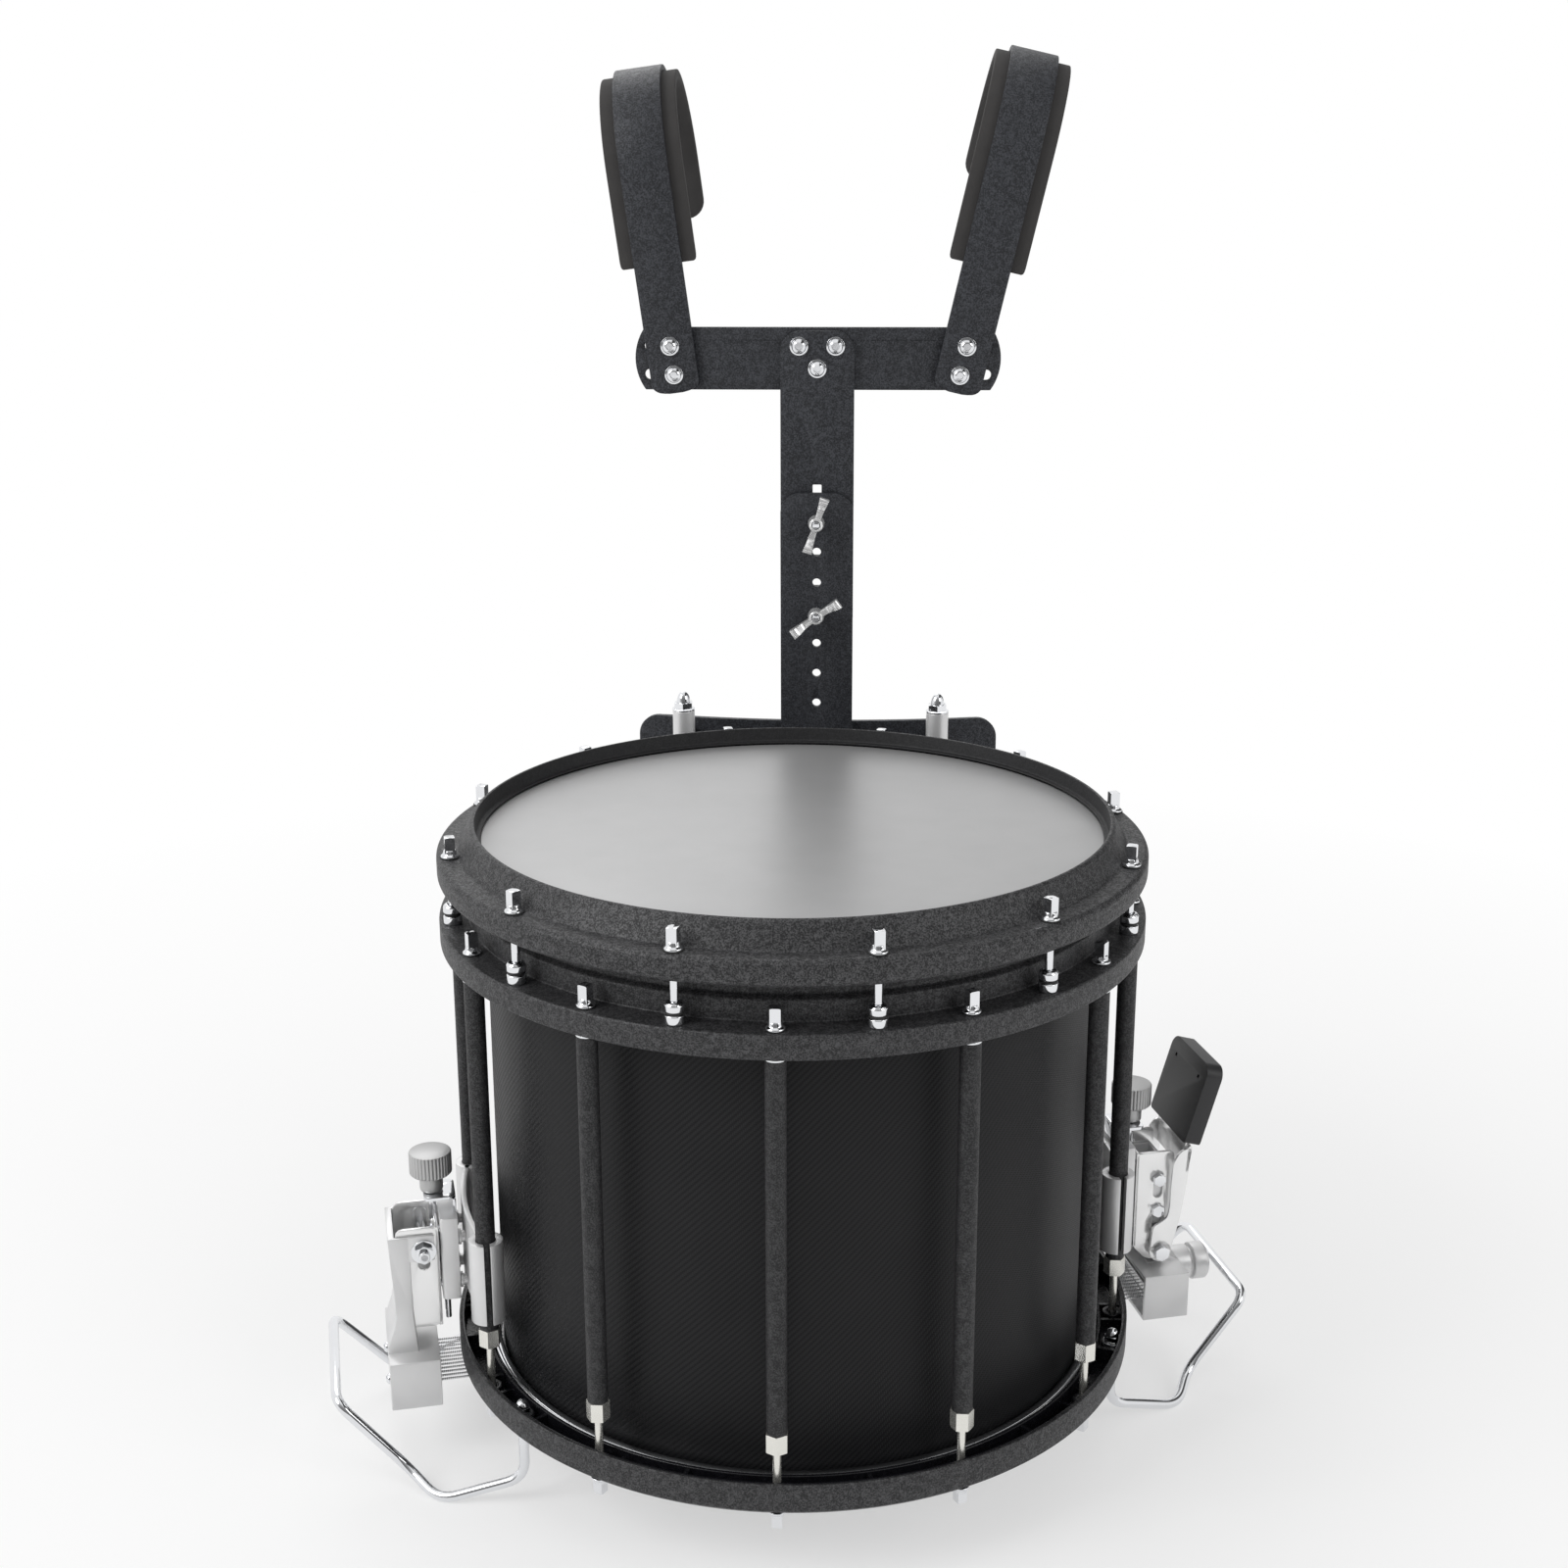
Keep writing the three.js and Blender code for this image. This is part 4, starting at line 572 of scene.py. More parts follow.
headProfile = [
    (0, 0.3), (178.8, 0.3), (180.2, -3.6), (180.2, -10.2), (185.2, -10.2), (185.2, -1.2), (178.8, 0.9), (0, 0.9)]
headForm = latheForm(rounded(headProfile, 0.5, False), drum["steps"])
addPiece("batter_film", "drum", [(headForm, "film")], upperPlace, ["batter_head"], 25)

# Batter hoop and edge ring, drilled for the rods
hoopProfile = [
    (185.7, -14.8), (189.2, -14.8), (189.2, -18.3), (202, -18.3), (204.3, -16), (204.3, -5.6), (202, -3.3),
    (191.8, -3.3), (185.2, 10.1), (183.6, 11.4), (182.2, 11.4), (181.6, 2.8), (178.9, 2.8), (178.9, 1.5),
    (185.7, 1.5)]
hoopForm = drilled(drumRing(hoopProfile, 1.2), -25, 5, 0.5)
addPiece("batter_hoop_coated", "drum", [(hoopForm, "hoopCoat")], upperPlace, ["batter_hoop"])

ringProfile = [
    (178.3, -56.6), (203.4, -56.6), (204.3, -55.7), (204.3, -43.4), (203.4, -42.5), (187, -42.5), (187, -30.8),
    (183.2, -28.6), (183.2, -15.2), (178.3, -15.2)]
ringForm = drilled(drumRing(ringProfile, 1), -60, -35, 0.5, 0)
addPiece("edge_ring_coated", "drum", [(ringForm, "crinkle")], upperPlace, ["edge_ring"])


# Bush that takes a batter rod: two turned barrels with a rubber ring between them
def bushForm():
    lowBarrel = [(2.6, -42.6), (4.9, -42.6), (5.3, -42), (5.3, -37.8), (4.6, -37.2), (2.6, -37.2)]
    highBarrel = [(2.6, -35.9), (4.7, -35.9), (5.3, -35.4), (5.3, -32.2), (4.4, -30.9), (3.3, -30.5), (2.6, -30.5)]
    return joined(latheForm(rounded(lowBarrel, 0.3), 28, True), latheForm(rounded(highBarrel, 0.3), 28, True))


def bushRingForm():
    return latheForm(arcPoints(4.2, -36.55, 0.75, 0, 360, 10)[:-1], 28, True)


addPiece("lug_bushes", "drum", [(onStations(bushForm, 0.5), "chrome")], upperPlace)
addPiece("lug_bush_rings", "drum", [(onStations(bushRingForm, 0.5), "rubber")], upperPlace)

# Snare side: film, flesh hoop and the open gutter ring
filmProfile = [(0, -0.9), (178.4, -0.9), (178.7, -0.6), (178.7, 3.3), (178.1, 3.3), (178.1, -0.3), (0, -0.3)]
filmForm = latheForm(filmProfile, drum["steps"])
fleshProfile = [(178.9, 2.5), (186, 2.5), (186, 11.7), (179.6, 11.7), (179.6, 3.2)]
fleshForm = drumRing(fleshProfile, 2.6, 5)
addPiece("snare_film", "drum", [(filmForm, "clear")], drumPlace, ["snare_side_head"], 30)
addPiece("flesh_hoop", "drum", [(fleshForm, "chrome")], drumPlace, (), 50)

gutter = {"inner": 179.2, "foot": -1, "floor": 2.2, "outer": 201.3, "top": 18, "lip": (186.5, 188.7), "lipTop": 13}
bandForm = drumRing([(201.9, 17.6), (201.9, 0.2), (204.3, 1.7), (204.3, 18)], 0.7)
gutterForm = drumRing([
    (gutter["inner"], gutter["foot"]), (gutter["outer"], gutter["foot"]), (203.6, 1.4), (203.6, 17.3),
    (gutter["outer"], gutter["top"]), (gutter["outer"], gutter["floor"]), (gutter["lip"][1], gutter["floor"]),
    (gutter["lip"][1], gutter["lipTop"]), (gutter["lip"][0], gutter["lipTop"]), (gutter["lip"][0], 2.05),
    (gutter["inner"], 2.05)], 0.7)
gutterForm = drilled(gutterForm, -5, 6, 0)
bossForm = onStations(lambda: washerForm(2.7, 6.2, 1.5, 8, 0.6, 28), 0)
webForm = onStations(lambda: joined(*[
    softened(slabForm(-8.6, 5, side - 1.1, side + 1.1, 1.5, 7.4), 0.3) for side in (-9, 9)]), 0)
ribForm = onStations(lambda: softened(slabForm(-8.6, 5, -1.2, 1.2, 1.5, 12), 0.3), 0.5)
addPiece("snare_ring_gutter", "drum", [
    (gutterForm, "gutter"), (bossForm, "gutter"), (webForm, "gutter"), (ribForm, "gutter")],
    drumPlace, ["snare_ring"])
addPiece("snare_ring_band", "drum", [(bandForm, "crinkle")], drumPlace)
print("shell, heads and rings made")

# Tension rods: a square key head on a flared round flange
key = {"flat": 2.8, "flange": 5.2, "top": 11.9, "shaft": 2.3, "lowDrop": 1.5}


def keyForms(seat, up=1, top=key["top"]):
    profile = [(0, 0), (key["flange"], 0), (key["flange"], 1.1), (3.9, 2.2), (3.4, 4.4), (0, 4.4)]
    flange = latheForm(rounded(profile, 0.5, False), 32)
    square = nutForm(4, key["flat"], 1.7, top, 0.84, 0.55, low=False)
    return [placed(form, shift(z=seat) @ Matrix.Diagonal((1, 1, up, 1))) for form in (flange, square)]


for i in range(drum["stations"]):
    twoDigits = f"{i + 1:02d}"
    rodParts = [*keyForms(-3), postForm(key["shaft"], -55.7, -1.6, 0.3, 20)]
    washer = washerForm(2.6, 5.6, -3.3, -2.7, 0.2, 28)
    addPiece("batter_rod_piece_" + twoDigits, "rod_" + twoDigits,
             [(joined(*rodParts), "chrome"), (washer, "rubber")],
             upperPlace @ outward(stationStep * (i + 0.5), boltRadius), ["batter_rod_" + twoDigits])

    # Long tube with its bright washer, hexagon insert and lower rod
    tubeForm = postForm(5.6, 44.7, 260.4, 0.5, 36)
    brightForms = [
        *keyForms(275.1), postForm(key["shaft"], 259.4, 276, 0.1, 20), postForm(5.9, 259.2, 260.5, 0.3, 36),
        *keyForms(-1.3, -1, key["top"] - key["lowDrop"])]
    insertForm = placed(nutForm(6, 5.6, 34.7, 45.6, 0.95, 0.6), spin(30))
    lowRod = postForm(key["shaft"], -4, 36, 0.1, 20)
    addPiece("lug_tube_piece_" + twoDigits, "drum",
             [(tubeForm, "tubeCoat"), (joined(*brightForms), "chrome"), (joined(insertForm, lowRod), "nickel")],
             drumPlace @ outward(stationStep * i, boltRadius), ["lug_tube_" + twoDigits])
print("rods and tubes made")

# Strainers. Own X points out from the drum and starts at the frame's rim.
tubeSide = boltRadius * math.sin(math.radians(stationStep / 2))
tubePlace = boltRadius * math.cos(math.radians(stationStep / 2)) - rimRadius
clamp = {"radius": 9.8, "bottom": 51.5, "top": 101.5, "slit": 3.7, "plateInset": 7.7, "plateWall": 3.4,
         "bore": 5.9, "screwSide": 12, "screws": (56.5, 84.5)}


def bracketForms():
    forms = []
    inner = rimRadius - clamp["plateInset"]
    reach = math.degrees(math.asin((tubeSide - clamp["radius"] / 2) / inner))
    outline = (arcPoints(-rimRadius, 0, inner + clamp["plateWall"], -reach, reach, 16)
               + arcPoints(-rimRadius, 0, inner, reach, -reach, 16))
    forms.append(softened(plateForm(outline, clamp["bottom"], clamp["top"]), 0.5))
    for side in (-1, 1):
        sleeve = plateForm(circle(0, 0, clamp["radius"], 48), clamp["bottom"], clamp["top"],
                           [circle(0, 0, clamp["bore"], 36)])
        ends = sorted((0, side * clamp["screwSide"]))
        slit = slabForm(-clamp["slit"] / 2, clamp["slit"] / 2, *ends, clamp["bottom"] - 1, clamp["top"] + 1)
        forms.append(placed(softened(carved(sleeve, slit), 0.45), shift(tubePlace, side * tubeSide)))
        for height in clamp["screws"]:
            stud = joined(postForm(3.4, -7.7, -1, 0.3, 24), postForm(4.6, -2.6, -1, 0.3, 24))
            forms.append(placed(stud, shift(0, side * clamp["screwSide"], height) @ layAlongX))
    return forms


slide = {"back": -0.7, "front": 9.7, "half": 20, "bottom": 48.5, "top": 100.5, "shelfHalf": 12, "shelfEnd": 17.7,
         "shelfTop": 110.5, "rodSide": 4.5, "screwSide": 14, "screws": (57, 92)}
heightKnob = {"place": 12.5, "radius": 12.4, "bottom": 121.5, "top": 135.5, "ridges": 34, "groove": 0.7, "screw": 2.2}


def bodyForms():
    back, front, half, shelfHalf, shelfEnd = [
        slide[name] for name in ("back", "front", "half", "shelfHalf", "shelfEnd")]
    block = plateForm([(back, -half), (8.5, -half), (front, -18.8), (front, 18.8), (8.5, half), (back, half)],
                      slide["bottom"], slide["top"])
    upright = slabForm(back, 1.3, -shelfHalf, shelfHalf, slide["top"] - 1, 109)
    shelfSides = [(back, -shelfHalf), (shelfEnd, -shelfHalf), (shelfEnd, shelfHalf), (back, shelfHalf)]
    shelf = plateForm(rounded(shelfSides, 4, steps=5), slide["shelfTop"] - 2, slide["shelfTop"],
                      [circle(heightKnob["place"], 0, 2.5)])
    rods = [placed(postForm(1.7, 28.5, slide["bottom"] + 1, 0.5, 20), shift(6.5, side * slide["rodSide"]))
            for side in (-1, 1)]
    screws = [placed(screwForm(2.2, 1.6), shift(9.6, side * slide["screwSide"], height) @ layAlongX)
              for side in (-1, 1) for height in slide["screws"]]
    return [softened(block, 0.6)], [softened(upright), softened(shelf, 0.6), *rods, *screws]


# A button head with a hexagon socket, raised from zero
def screwForm(radius, height):
    socket = radius * 0.46
    dome = [(0, 0), (radius, 0), (radius, height * 0.25)]
    dome += [(radius * math.cos(t), height * (0.25 + 0.75 * math.sin(t)))
             for t in (math.radians(20), math.radians(42))]
    dome += [(radius * 0.56, height), (socket, height), (socket, height * 0.4), (0, height * 0.4)]
    return latheForm(dome, 24)


# A turned knob with grooves down its side
def ridgedForm(radius, low, high, ridges, depth, edge=1):
    form = bmesh.new()
    steps = ridges * 6
    levels = [(0, low, 0), (radius - edge, low, 0), (radius, low + edge, 1), (radius, high - edge, 1),
              (radius - edge * 0.3, high - edge * 0.3, 0.4), (radius - edge, high, 0), (0, high, 0)]
    rings = []
    for size, height, share in levels:
        if size == 0:
            rings.append([form.verts.new((0, 0, height))])
            continue
        ring = []
        for i in range(steps):
            bearing = 2 * math.pi * i / steps
            groove = max(0, math.cos(bearing * ridges)) ** 2
            reach = size - depth * share * groove
            ring.append(form.verts.new((reach * math.cos(bearing), reach * math.sin(bearing), height)))
        rings.append(ring)
    for one, two in zip(rings, rings[1:]):
        for i in range(steps):
            j = (i + 1) % steps
            if len(one) == 1:
                form.faces.new((one[0], two[j], two[i]))
            elif len(two) == 1:
                form.faces.new((one[i], one[j], two[0]))
            else:
                form.faces.new((one[i], one[j], two[j], two[i]))
    bmesh.ops.recalc_face_normals(form, faces=form.faces)
    return form


def heightKnobForms():
    profile = [(0, 110.8), (6.2, 110.8), (6.8, 112), (6.8, 119.5), (5.6, 122), (0, 122)]
    collar = latheForm(rounded(profile, 0.5, False), 40)
    knob = ridgedForm(*[heightKnob[name] for name in ("radius", "bottom", "top", "ridges", "groove")])
    return [placed(form, shift(heightKnob["place"])) for form in (knob, collar)]


def screwShaft():
    return placed(postForm(heightKnob["screw"], 86.5, 111.5, 0.3, 20), shift(heightKnob["place"]))


def slotHole(x, low, high, width):
    half = width / 2
    return arcPoints(x, high - half, half, 0, 180, 10) + arcPoints(x, low + half, half, 180, 360, 10)


channel = {"inner": 10.7, "outer": 35.7, "wall": 2, "half": 18.5, "bottom": 31.5, "top": 95.5}


# A pressed channel: a back and two sides with slots
def channelForms(side, slots):
    inner, thick, half, top = [channel[name] for name in ("inner", "wall", "half", "top")]
    sides = [softened(standing(side, *sorted((sign * half, sign * (half - thick))), slots), 0.3)
             for sign in (-1, 1)]
    back = softened(slabForm(inner, inner + thick, -half, half, channel["bottom"], top), 0.4)
    screw = placed(screwForm(3, 1.8), shift(inner + thick - 0.1, 0, top - 5) @ layAlongX)
    return [*sides, back, screw]


box = {"inner": 13.7, "outer": 43.2, "bottom": -12.5, "top": 17.5, "half": 34, "wall": 2.4}


# The snare box: a rail open to the drum, with jaws that grip the strands
def boxForms():
    inner, outer, low, high, half, thick = [
        box[name] for name in ("inner", "outer", "bottom", "top", "half", "wall")]
    rail = carved(slabForm(inner, outer, -half, half, low, high),
                  slabForm(inner - 1, outer - thick, thick - half, half - thick, low + thick, high - thick))
    jaws = [softened(slabForm(19.7, 30.7, -half + 2.2, half - 2.2, *ends), 0.5)
            for ends in ((-1.1, 4.6), (-10.3, -3.1))]
    screws = [placed(screwForm(3.2, 2.3), shift(outer - 0.1, side * 18, -0.5) @ layAlongX) for side in (-1, 1)]
    return softened(rail, 0.7, 3), jaws, screws


# The strap's side: straight down, then flaring out to the box
def strapSide(inner, outer, top, flare):
    points = [(inner, top), (outer, top)]
    points += [(outer + (box["outer"] - outer) * share ** 2, box["top"] + flare * (1 - share))
               for share in (i / 12 for i in range(13))]
    return points + [(box["outer"], box["top"] - 1), (inner, box["top"] - 1), (inner, box["top"]),
                     (inner, box["top"] + flare)]


def boltForms(x, z, half):
    shank = lying(postForm(2.6, -half - 1, half + 8.5, 0.5, 24), x, z)
    flat = [lying(washerForm(2.6, 7.4, side, side + 1.2, 0.3, 36), x, z)
            for side in (-half - 1.4, half)]
    head = joined(lying(nutForm(6, 5, half + 1.2, half + 5.6), x, z),
                  lying(postForm(3.4, half, half + 8.5, 0.6, 24), x, z))
    back = placed(placed(screwForm(4.6, 3), spin(180, "X")), shift(x, -half - 1.3, z) @ layAlongY)
    return [shank, *flat, head, back]


arm = {"inner": 27.7, "outer": 38.4, "top": 91.5, "wall": 2.2, "gap": 0.3, "toe": 2, "heel": 26, "ear": (13.5, 75.8),
       "bolt": (19.7, 82),
       "waist": [(40.1, 91.5), (39.3, 75), (38.3, 60), (37.7, 48), (37.7, 40), (39, 33), (41.2, 27), (43.2, 21.5)]}


def fixedBoxForms():
    half = channel["half"] + arm["gap"] + arm["wall"]
    inner, outer, top, thick = [arm[name] for name in ("inner", "outer", "top", "wall")]
    outline = [(inner, top), *arm["waist"], (box["outer"], box["top"] - 1), (inner - arm["toe"], box["top"] - 1),
               (inner - arm["toe"], box["top"]), (inner, box["top"] + arm["heel"])]
    bent = carved(standing(outline, -half, half),
                  slabForm(inner - 8, outer - thick, thick - half, half - thick, box["top"] + 0.4, top + 1))
    earStart, earBottom = arm["ear"]
    earSides = [sorted((side * half, side * (half - thick))) for side in (-1, 1)]
    ears = [softened(slabForm(earStart, inner + 1, *ends, earBottom, top), 0.4) for ends in earSides]
    return [softened(bent, 0.6), *ears], boltForms(*arm["bolt"], half)


strap = {"inner": 21.7, "outer": 33.4, "top": 85.5, "wall": 2, "inset": 2.3, "flare": 9, "window": 45.5, "drop": 10,
         "pinPlace": 25.7, "pinRadius": 2.6, "slotHalf": 3.1, "pins": (77.1, 55.9)}


def strapForms():
    half = channel["half"] - strap["inset"]
    inner, outer, top, thick = [strap[name] for name in ("inner", "outer", "top", "wall")]
    bent = carved(standing(strapSide(inner, outer, top, strap["flare"]), -half, half),
                  slabForm(inner - 1, outer - thick, thick - half, half - thick, box["top"] + 0.4, top + 1),
                  slabForm(inner - 1, outer - thick, -half - 1, half + 1, box["top"] + 0.4, strap["window"]))
    reach = channel["half"] + 0.3
    pins = []
    for height in strap["pins"]:
        place = strap["pinPlace"]
        pins.append(lying(postForm(strap["pinRadius"], -reach - 2.6, reach + 2.6, 0.2, 24), place, height))
        pins.append(lying(nutForm(6, 3.6, -reach - 3, -reach), place, height))
        pins.append(placed(screwForm(4.2, 2.8), shift(place, reach, height) @ layAlongY))
    return softened(bent, 0.5), pins


buttPlace = drumPlace @ outward(-75, rimRadius)
releasePlace = drumPlace @ outward(105, rimRadius)
for name, place in (("butt", buttPlace), ("strainer", releasePlace)):
    addPiece(name + "_clamps", "drum", [(joined(*bracketForms()), "satin")], place,
             [name + "_bracket"])
    plates, bright = bodyForms()
    addPiece(name + "_slide_block", "drum",
             [(joined(*plates), "satin"), (joined(*bright), "chrome")], place, [name + "_body"])
    addPiece(name + "_knob_turned", name + "_height_knob",
             [(joined(*heightKnobForms()), "turned"), (screwShaft(), "chrome")], place, [name + "_knob"])

channelFoot = [(channel["inner"], channel["bottom"]), (channel["outer"], channel["bottom"])]
channelTop = [(channel["outer"], channel["top"]), (channel["inner"], channel["top"])]
buttChannel = channelForms(rounded(channelFoot + channelTop, 5), [slotHole(arm["bolt"][0], 68.5, 91.5, 7)])
addPiece("butt_channel", "butt_slide", [(joined(*buttChannel), "polished")], buttPlace,
         ["butt_carriage"])
armForms, boltPieces = fixedBoxForms()
rail, jaws, screws = boxForms()
addPiece("butt_box_satin", "butt_slide",
         [(joined(*armForms, rail), "satin"), (joined(*boltPieces, *screws), "chrome"),
          (joined(*jaws), "polished")], buttPlace, ["butt_snare_box"])

releaseSide = rounded([channelFoot[0], (19.7, 22), (34.2, 22), channelFoot[1], *channelTop], 4)
lever = {"place": 26.9, "height": 29.7, "inner": 22.2, "wall": 2, "depth": 18, "rise": 72, "lean": 16}
slots = [slotHole(strap["pinPlace"], pin - strap["drop"] - strap["slotHalf"], pin + strap["slotHalf"], 6.2)
         for pin in strap["pins"]]
slots.append(circle(lever["place"], lever["height"], 3.4))
addPiece("release_channel", "strainer_slide",
         [(joined(*channelForms(releaseSide, slots)), "polished")], releasePlace, ["strainer_carriage"])
strapForm, pins = strapForms()
rail, jaws, screws = boxForms()
addPiece("release_box_satin", "dropping_box",
         [(joined(strapForm, rail), "satin"), (joined(*pins, *screws), "chrome"), (joined(*jaws), "polished")],
         releasePlace, ["strainer_snare_box"])

# Throw-off lever: two polished cheeks, a web, and the moulded grip on its tongue
cheek = [
    (-0.36, -0.02), (-0.36, 0.1), (-0.3, 0.24), (0.0, 0.28), (0.22, 0.32), (0.28, 0.42), (0.28, 0.6), (0.33, 0.83),
    (0.6, 0.94), (0.99, 0.97), (0.86, 0.64), (0.66, 0.29), (0.36, -0.02)]
cheekSide = rounded([(lever["place"] + a * lever["depth"], lever["height"] + b * lever["rise"]) for a, b in cheek],
                    3, steps=4)
leverForms = []
for side in (-1, 1):
    ends = sorted((side * lever["inner"], side * (lever["inner"] + lever["wall"])))
    leverForms.append(softened(standing(cheekSide, *ends), 0.4))
    leverForms.append(softened(standing(circle(lever["place"], lever["height"], 7, 36), *ends), 0.4))
web = [(40.6, 82.7), (42.6, 82.7), (44.7, 98.9), (43.7, 100.9), (41.7, 98.9)]
leverForms.append(softened(standing(web, -24.2, 24.2), 0.4))
gripPlace = shift(lever["place"] + 15.6, 0, lever["height"] + 73.2) @ spin(lever["lean"], "Y")
leverForms.append(placed(softened(slabForm(-1, 1, -22, 22, -6, 32), 0.4), gripPlace))
addPiece("throw_lever_polished", "lever", [(joined(*leverForms), "polished")], releasePlace,
         ["throw_lever"])

grip = {"half": 28, "length": 52, "thick": 10.6, "corner": 8}
gripShape = roundBox(grip["half"], 0, grip["length"], 2.5, grip["corner"], 10)
gripForm = softened(placed(plateForm(gripShape, -grip["thick"] / 2, grip["thick"] / 2), Matrix((
    (0, 0, 1, 0), (1, 0, 0, 0), (0, 1, 0, 0), (0, 0, 0, 1)))), 1.6, 4, 60)
dots = [placed(slabForm(-0.7, 0.7, y - 1.1, y + 1.1, 40, 42.2), shift(-grip["thick"] / 2))
        for y in (-17.4, 17.4)]
gripForm = carved(gripForm, *dots)
addPiece("grip_moulded", "lever", [(gripForm, "plastic")], releasePlace @ gripPlace,
         ["lever_grip"], 50)

pinReach = lever["inner"] + lever["wall"] + 0.3
pinForms = [
    lying(postForm(3, -pinReach - 1, pinReach + 1, 0.2, 28), lever["place"], lever["height"]),
    lying(nutForm(6, 4.4, -pinReach - 4, -pinReach), lever["place"], lever["height"]),
    placed(screwForm(4.8, 4), shift(lever["place"], pinReach, lever["height"]) @ layAlongY)]
addPiece("lever_pin_chrome", "strainer_slide", [(joined(*pinForms), "chrome")], releasePlace,
         ["lever_pin"])

dial = {"height": 6.5, "barrel": 11, "barrelEnd": 55, "neck": 8.5, "inner": 57.3, "outer": 67.3, "radius": 11.8}
dialForm = latheForm(rounded([
    (0, 31.4), (3.4, 31.4), (3.4, 43.5), (dial["barrel"], 43.5), (dial["barrel"], dial["barrelEnd"]),
    (dial["neck"], dial["barrelEnd"]), (dial["neck"], dial["inner"]), (dial["radius"], dial["inner"]),
    (dial["radius"], dial["outer"] - 1.6), (dial["radius"] - 1.6, dial["outer"]), (8, dial["outer"]),
    (7.4, dial["outer"] - 0.6), (0, dial["outer"] - 0.6)], 0.8, False), 64)
addPiece("tension_dial_turned", "tension_dial", [(dialForm, "satin")],
         releasePlace @ shift(z=dial["height"]) @ layAlongX, ["tension_knob"])

# Snare strands and the bars that hold their ends
strand = {"count": 12, "pitch": 4.1, "height": -2.1, "radius": 0.75, "bar": 5}
strandReach = rimRadius + 25
strandForms = []
for i in range(strand["count"]):
    side = (i - (strand["count"] - 1) / 2) * strand["pitch"]
    wire = postForm(strand["radius"], -strandReach, strandReach, 0.1, 10)
    strandForms.append(placed(wire, shift(0, side, strand["height"]) @ layAlongX))
barForms = [softened(slabForm(*sorted((side * strandReach, side * (strandReach - strand["bar"]))), -24.6, 24.6,
                              strand["height"] - 0.75, strand["height"] + 0.75), 0.2) for side in (-1, 1)]
addPiece("snare_wires", "drum", [(joined(*strandForms), "coil"), (joined(*barForms), "satin")],
         drumPlace @ spin(15), ["snare_strands"])

# Guards: bent wires on studs with domed nuts
guard = {"angle": 26.5, "wire": 3, "bend": 10, "stud": -1.3, "leg": -31.5,
         "low": (20.4, 78.3, -45.8), "rising": (35.8, 54.8, -37.9), "corner": (74.5, 48.9, 6.8)}
guardX = boltRadius * math.cos(math.radians(guard["angle"])) - rimRadius
guardY = boltRadius * math.sin(math.radians(guard["angle"]))
guardHalf = [(guardX, guardY, guard["stud"]), (guardX, guardY, guard["leg"]),
             guard["low"], guard["rising"], guard["corner"]]
guardRoute = guardHalf + [(x, -y, z) for x, y, z in reversed(guardHalf)]


# A domed nut on a hexagon
def domedNut(flat, bottom, hexTop, radius, top):
    dome = [(0, hexTop - 0.2), (radius, hexTop - 0.2)]
    dome += [(radius * math.cos(t), hexTop + (top - hexTop) * math.sin(t))
             for t in (math.radians(15 * i) for i in range(1, 6))]
    return joined(nutForm(6, flat, bottom, hexTop, 0.93, 0.6), latheForm(dome + [(0, top)], 32))


for name, place in (("left", buttPlace), ("right", releasePlace)):
    forms = [wireForm(guardRoute, guard["bend"], guard["wire"], 24)]
    for side in (-1, 1):
        stud = joined(postForm(2.3, -3, 12, 0.1, 20), domedNut(4.1, 10.3, 14.5, 4, 18.9),
                      washerForm(2.6, 6, 10, 10.7, 0.2, 28))
        forms.append(placed(stud, shift(guardX, side * guardY)))
    boss = joined(*[placed(washerForm(2.7, 7, 1.5, 9.9, 0.6), shift(guardX, side * guardY)) for side in (-1, 1)])
    addPiece("guard_wire_" + name, "drum", [(joined(*forms), "chrome")], place,
             ["guard_" + name], 50)
    addPiece("guard_boss_" + name, "drum", [(boss, "gutter")], place)
print("strainers and guards made")

# Carrier. Its frame starts on its middle line, at the front face of its bars and the lower face of
# the edge ring. Lower spine in front, then upper spine and shoulder bars, then the cross bar.
ringUnder = drum["height"] - 56.6
harnessPlace = drumPlace @ shift(6.3, rimRadius + 33.7, ringUnder)
layer = {"plate": 4, "rear": 4.3, "rearFace": 8.3, "cross": 8.6, "crossBack": 12.6, "middle": 6.3}
cross = {"half": 120, "bottom": 281.3, "top": 321.8, "bow": 6.5, "slot": 98, "slotEnd": 12.5,
         "heights": (309.8, 291.3)}
endHalf = (cross["top"] - cross["bottom"]) / 2
endRadius = (endHalf ** 2 + cross["bow"] ** 2) / (2 * cross["bow"])
endSweep = math.degrees(math.asin(endHalf / endRadius))
crossMiddle = (cross["top"] + cross["bottom"]) / 2
crossShape = (arcPoints(cross["half"] - endRadius, crossMiddle, endRadius, -endSweep, endSweep, 14)
              + arcPoints(endRadius - cross["half"], crossMiddle, endRadius, 180 - endSweep, 180 + endSweep, 14))


def levelSlot(x, z, end, width):
    half = width / 2
    return arcPoints(x + end, z, half, -90, 90, 8) + arcPoints(x - end, z, half, 90, 270, 8)


crossSlots = [levelSlot(side * cross["slot"], z, cross["slotEnd"], 6.8)
              for side in (-1, 1) for z in cross["heights"]]
crossForm = softened(standing(crossShape, layer["cross"], layer["crossBack"], crossSlots), 0.5)
addPiece("cross_bar_plate", "drum", [(crossForm, "carrierCoat")], harnessPlace, ["cross_bar"])

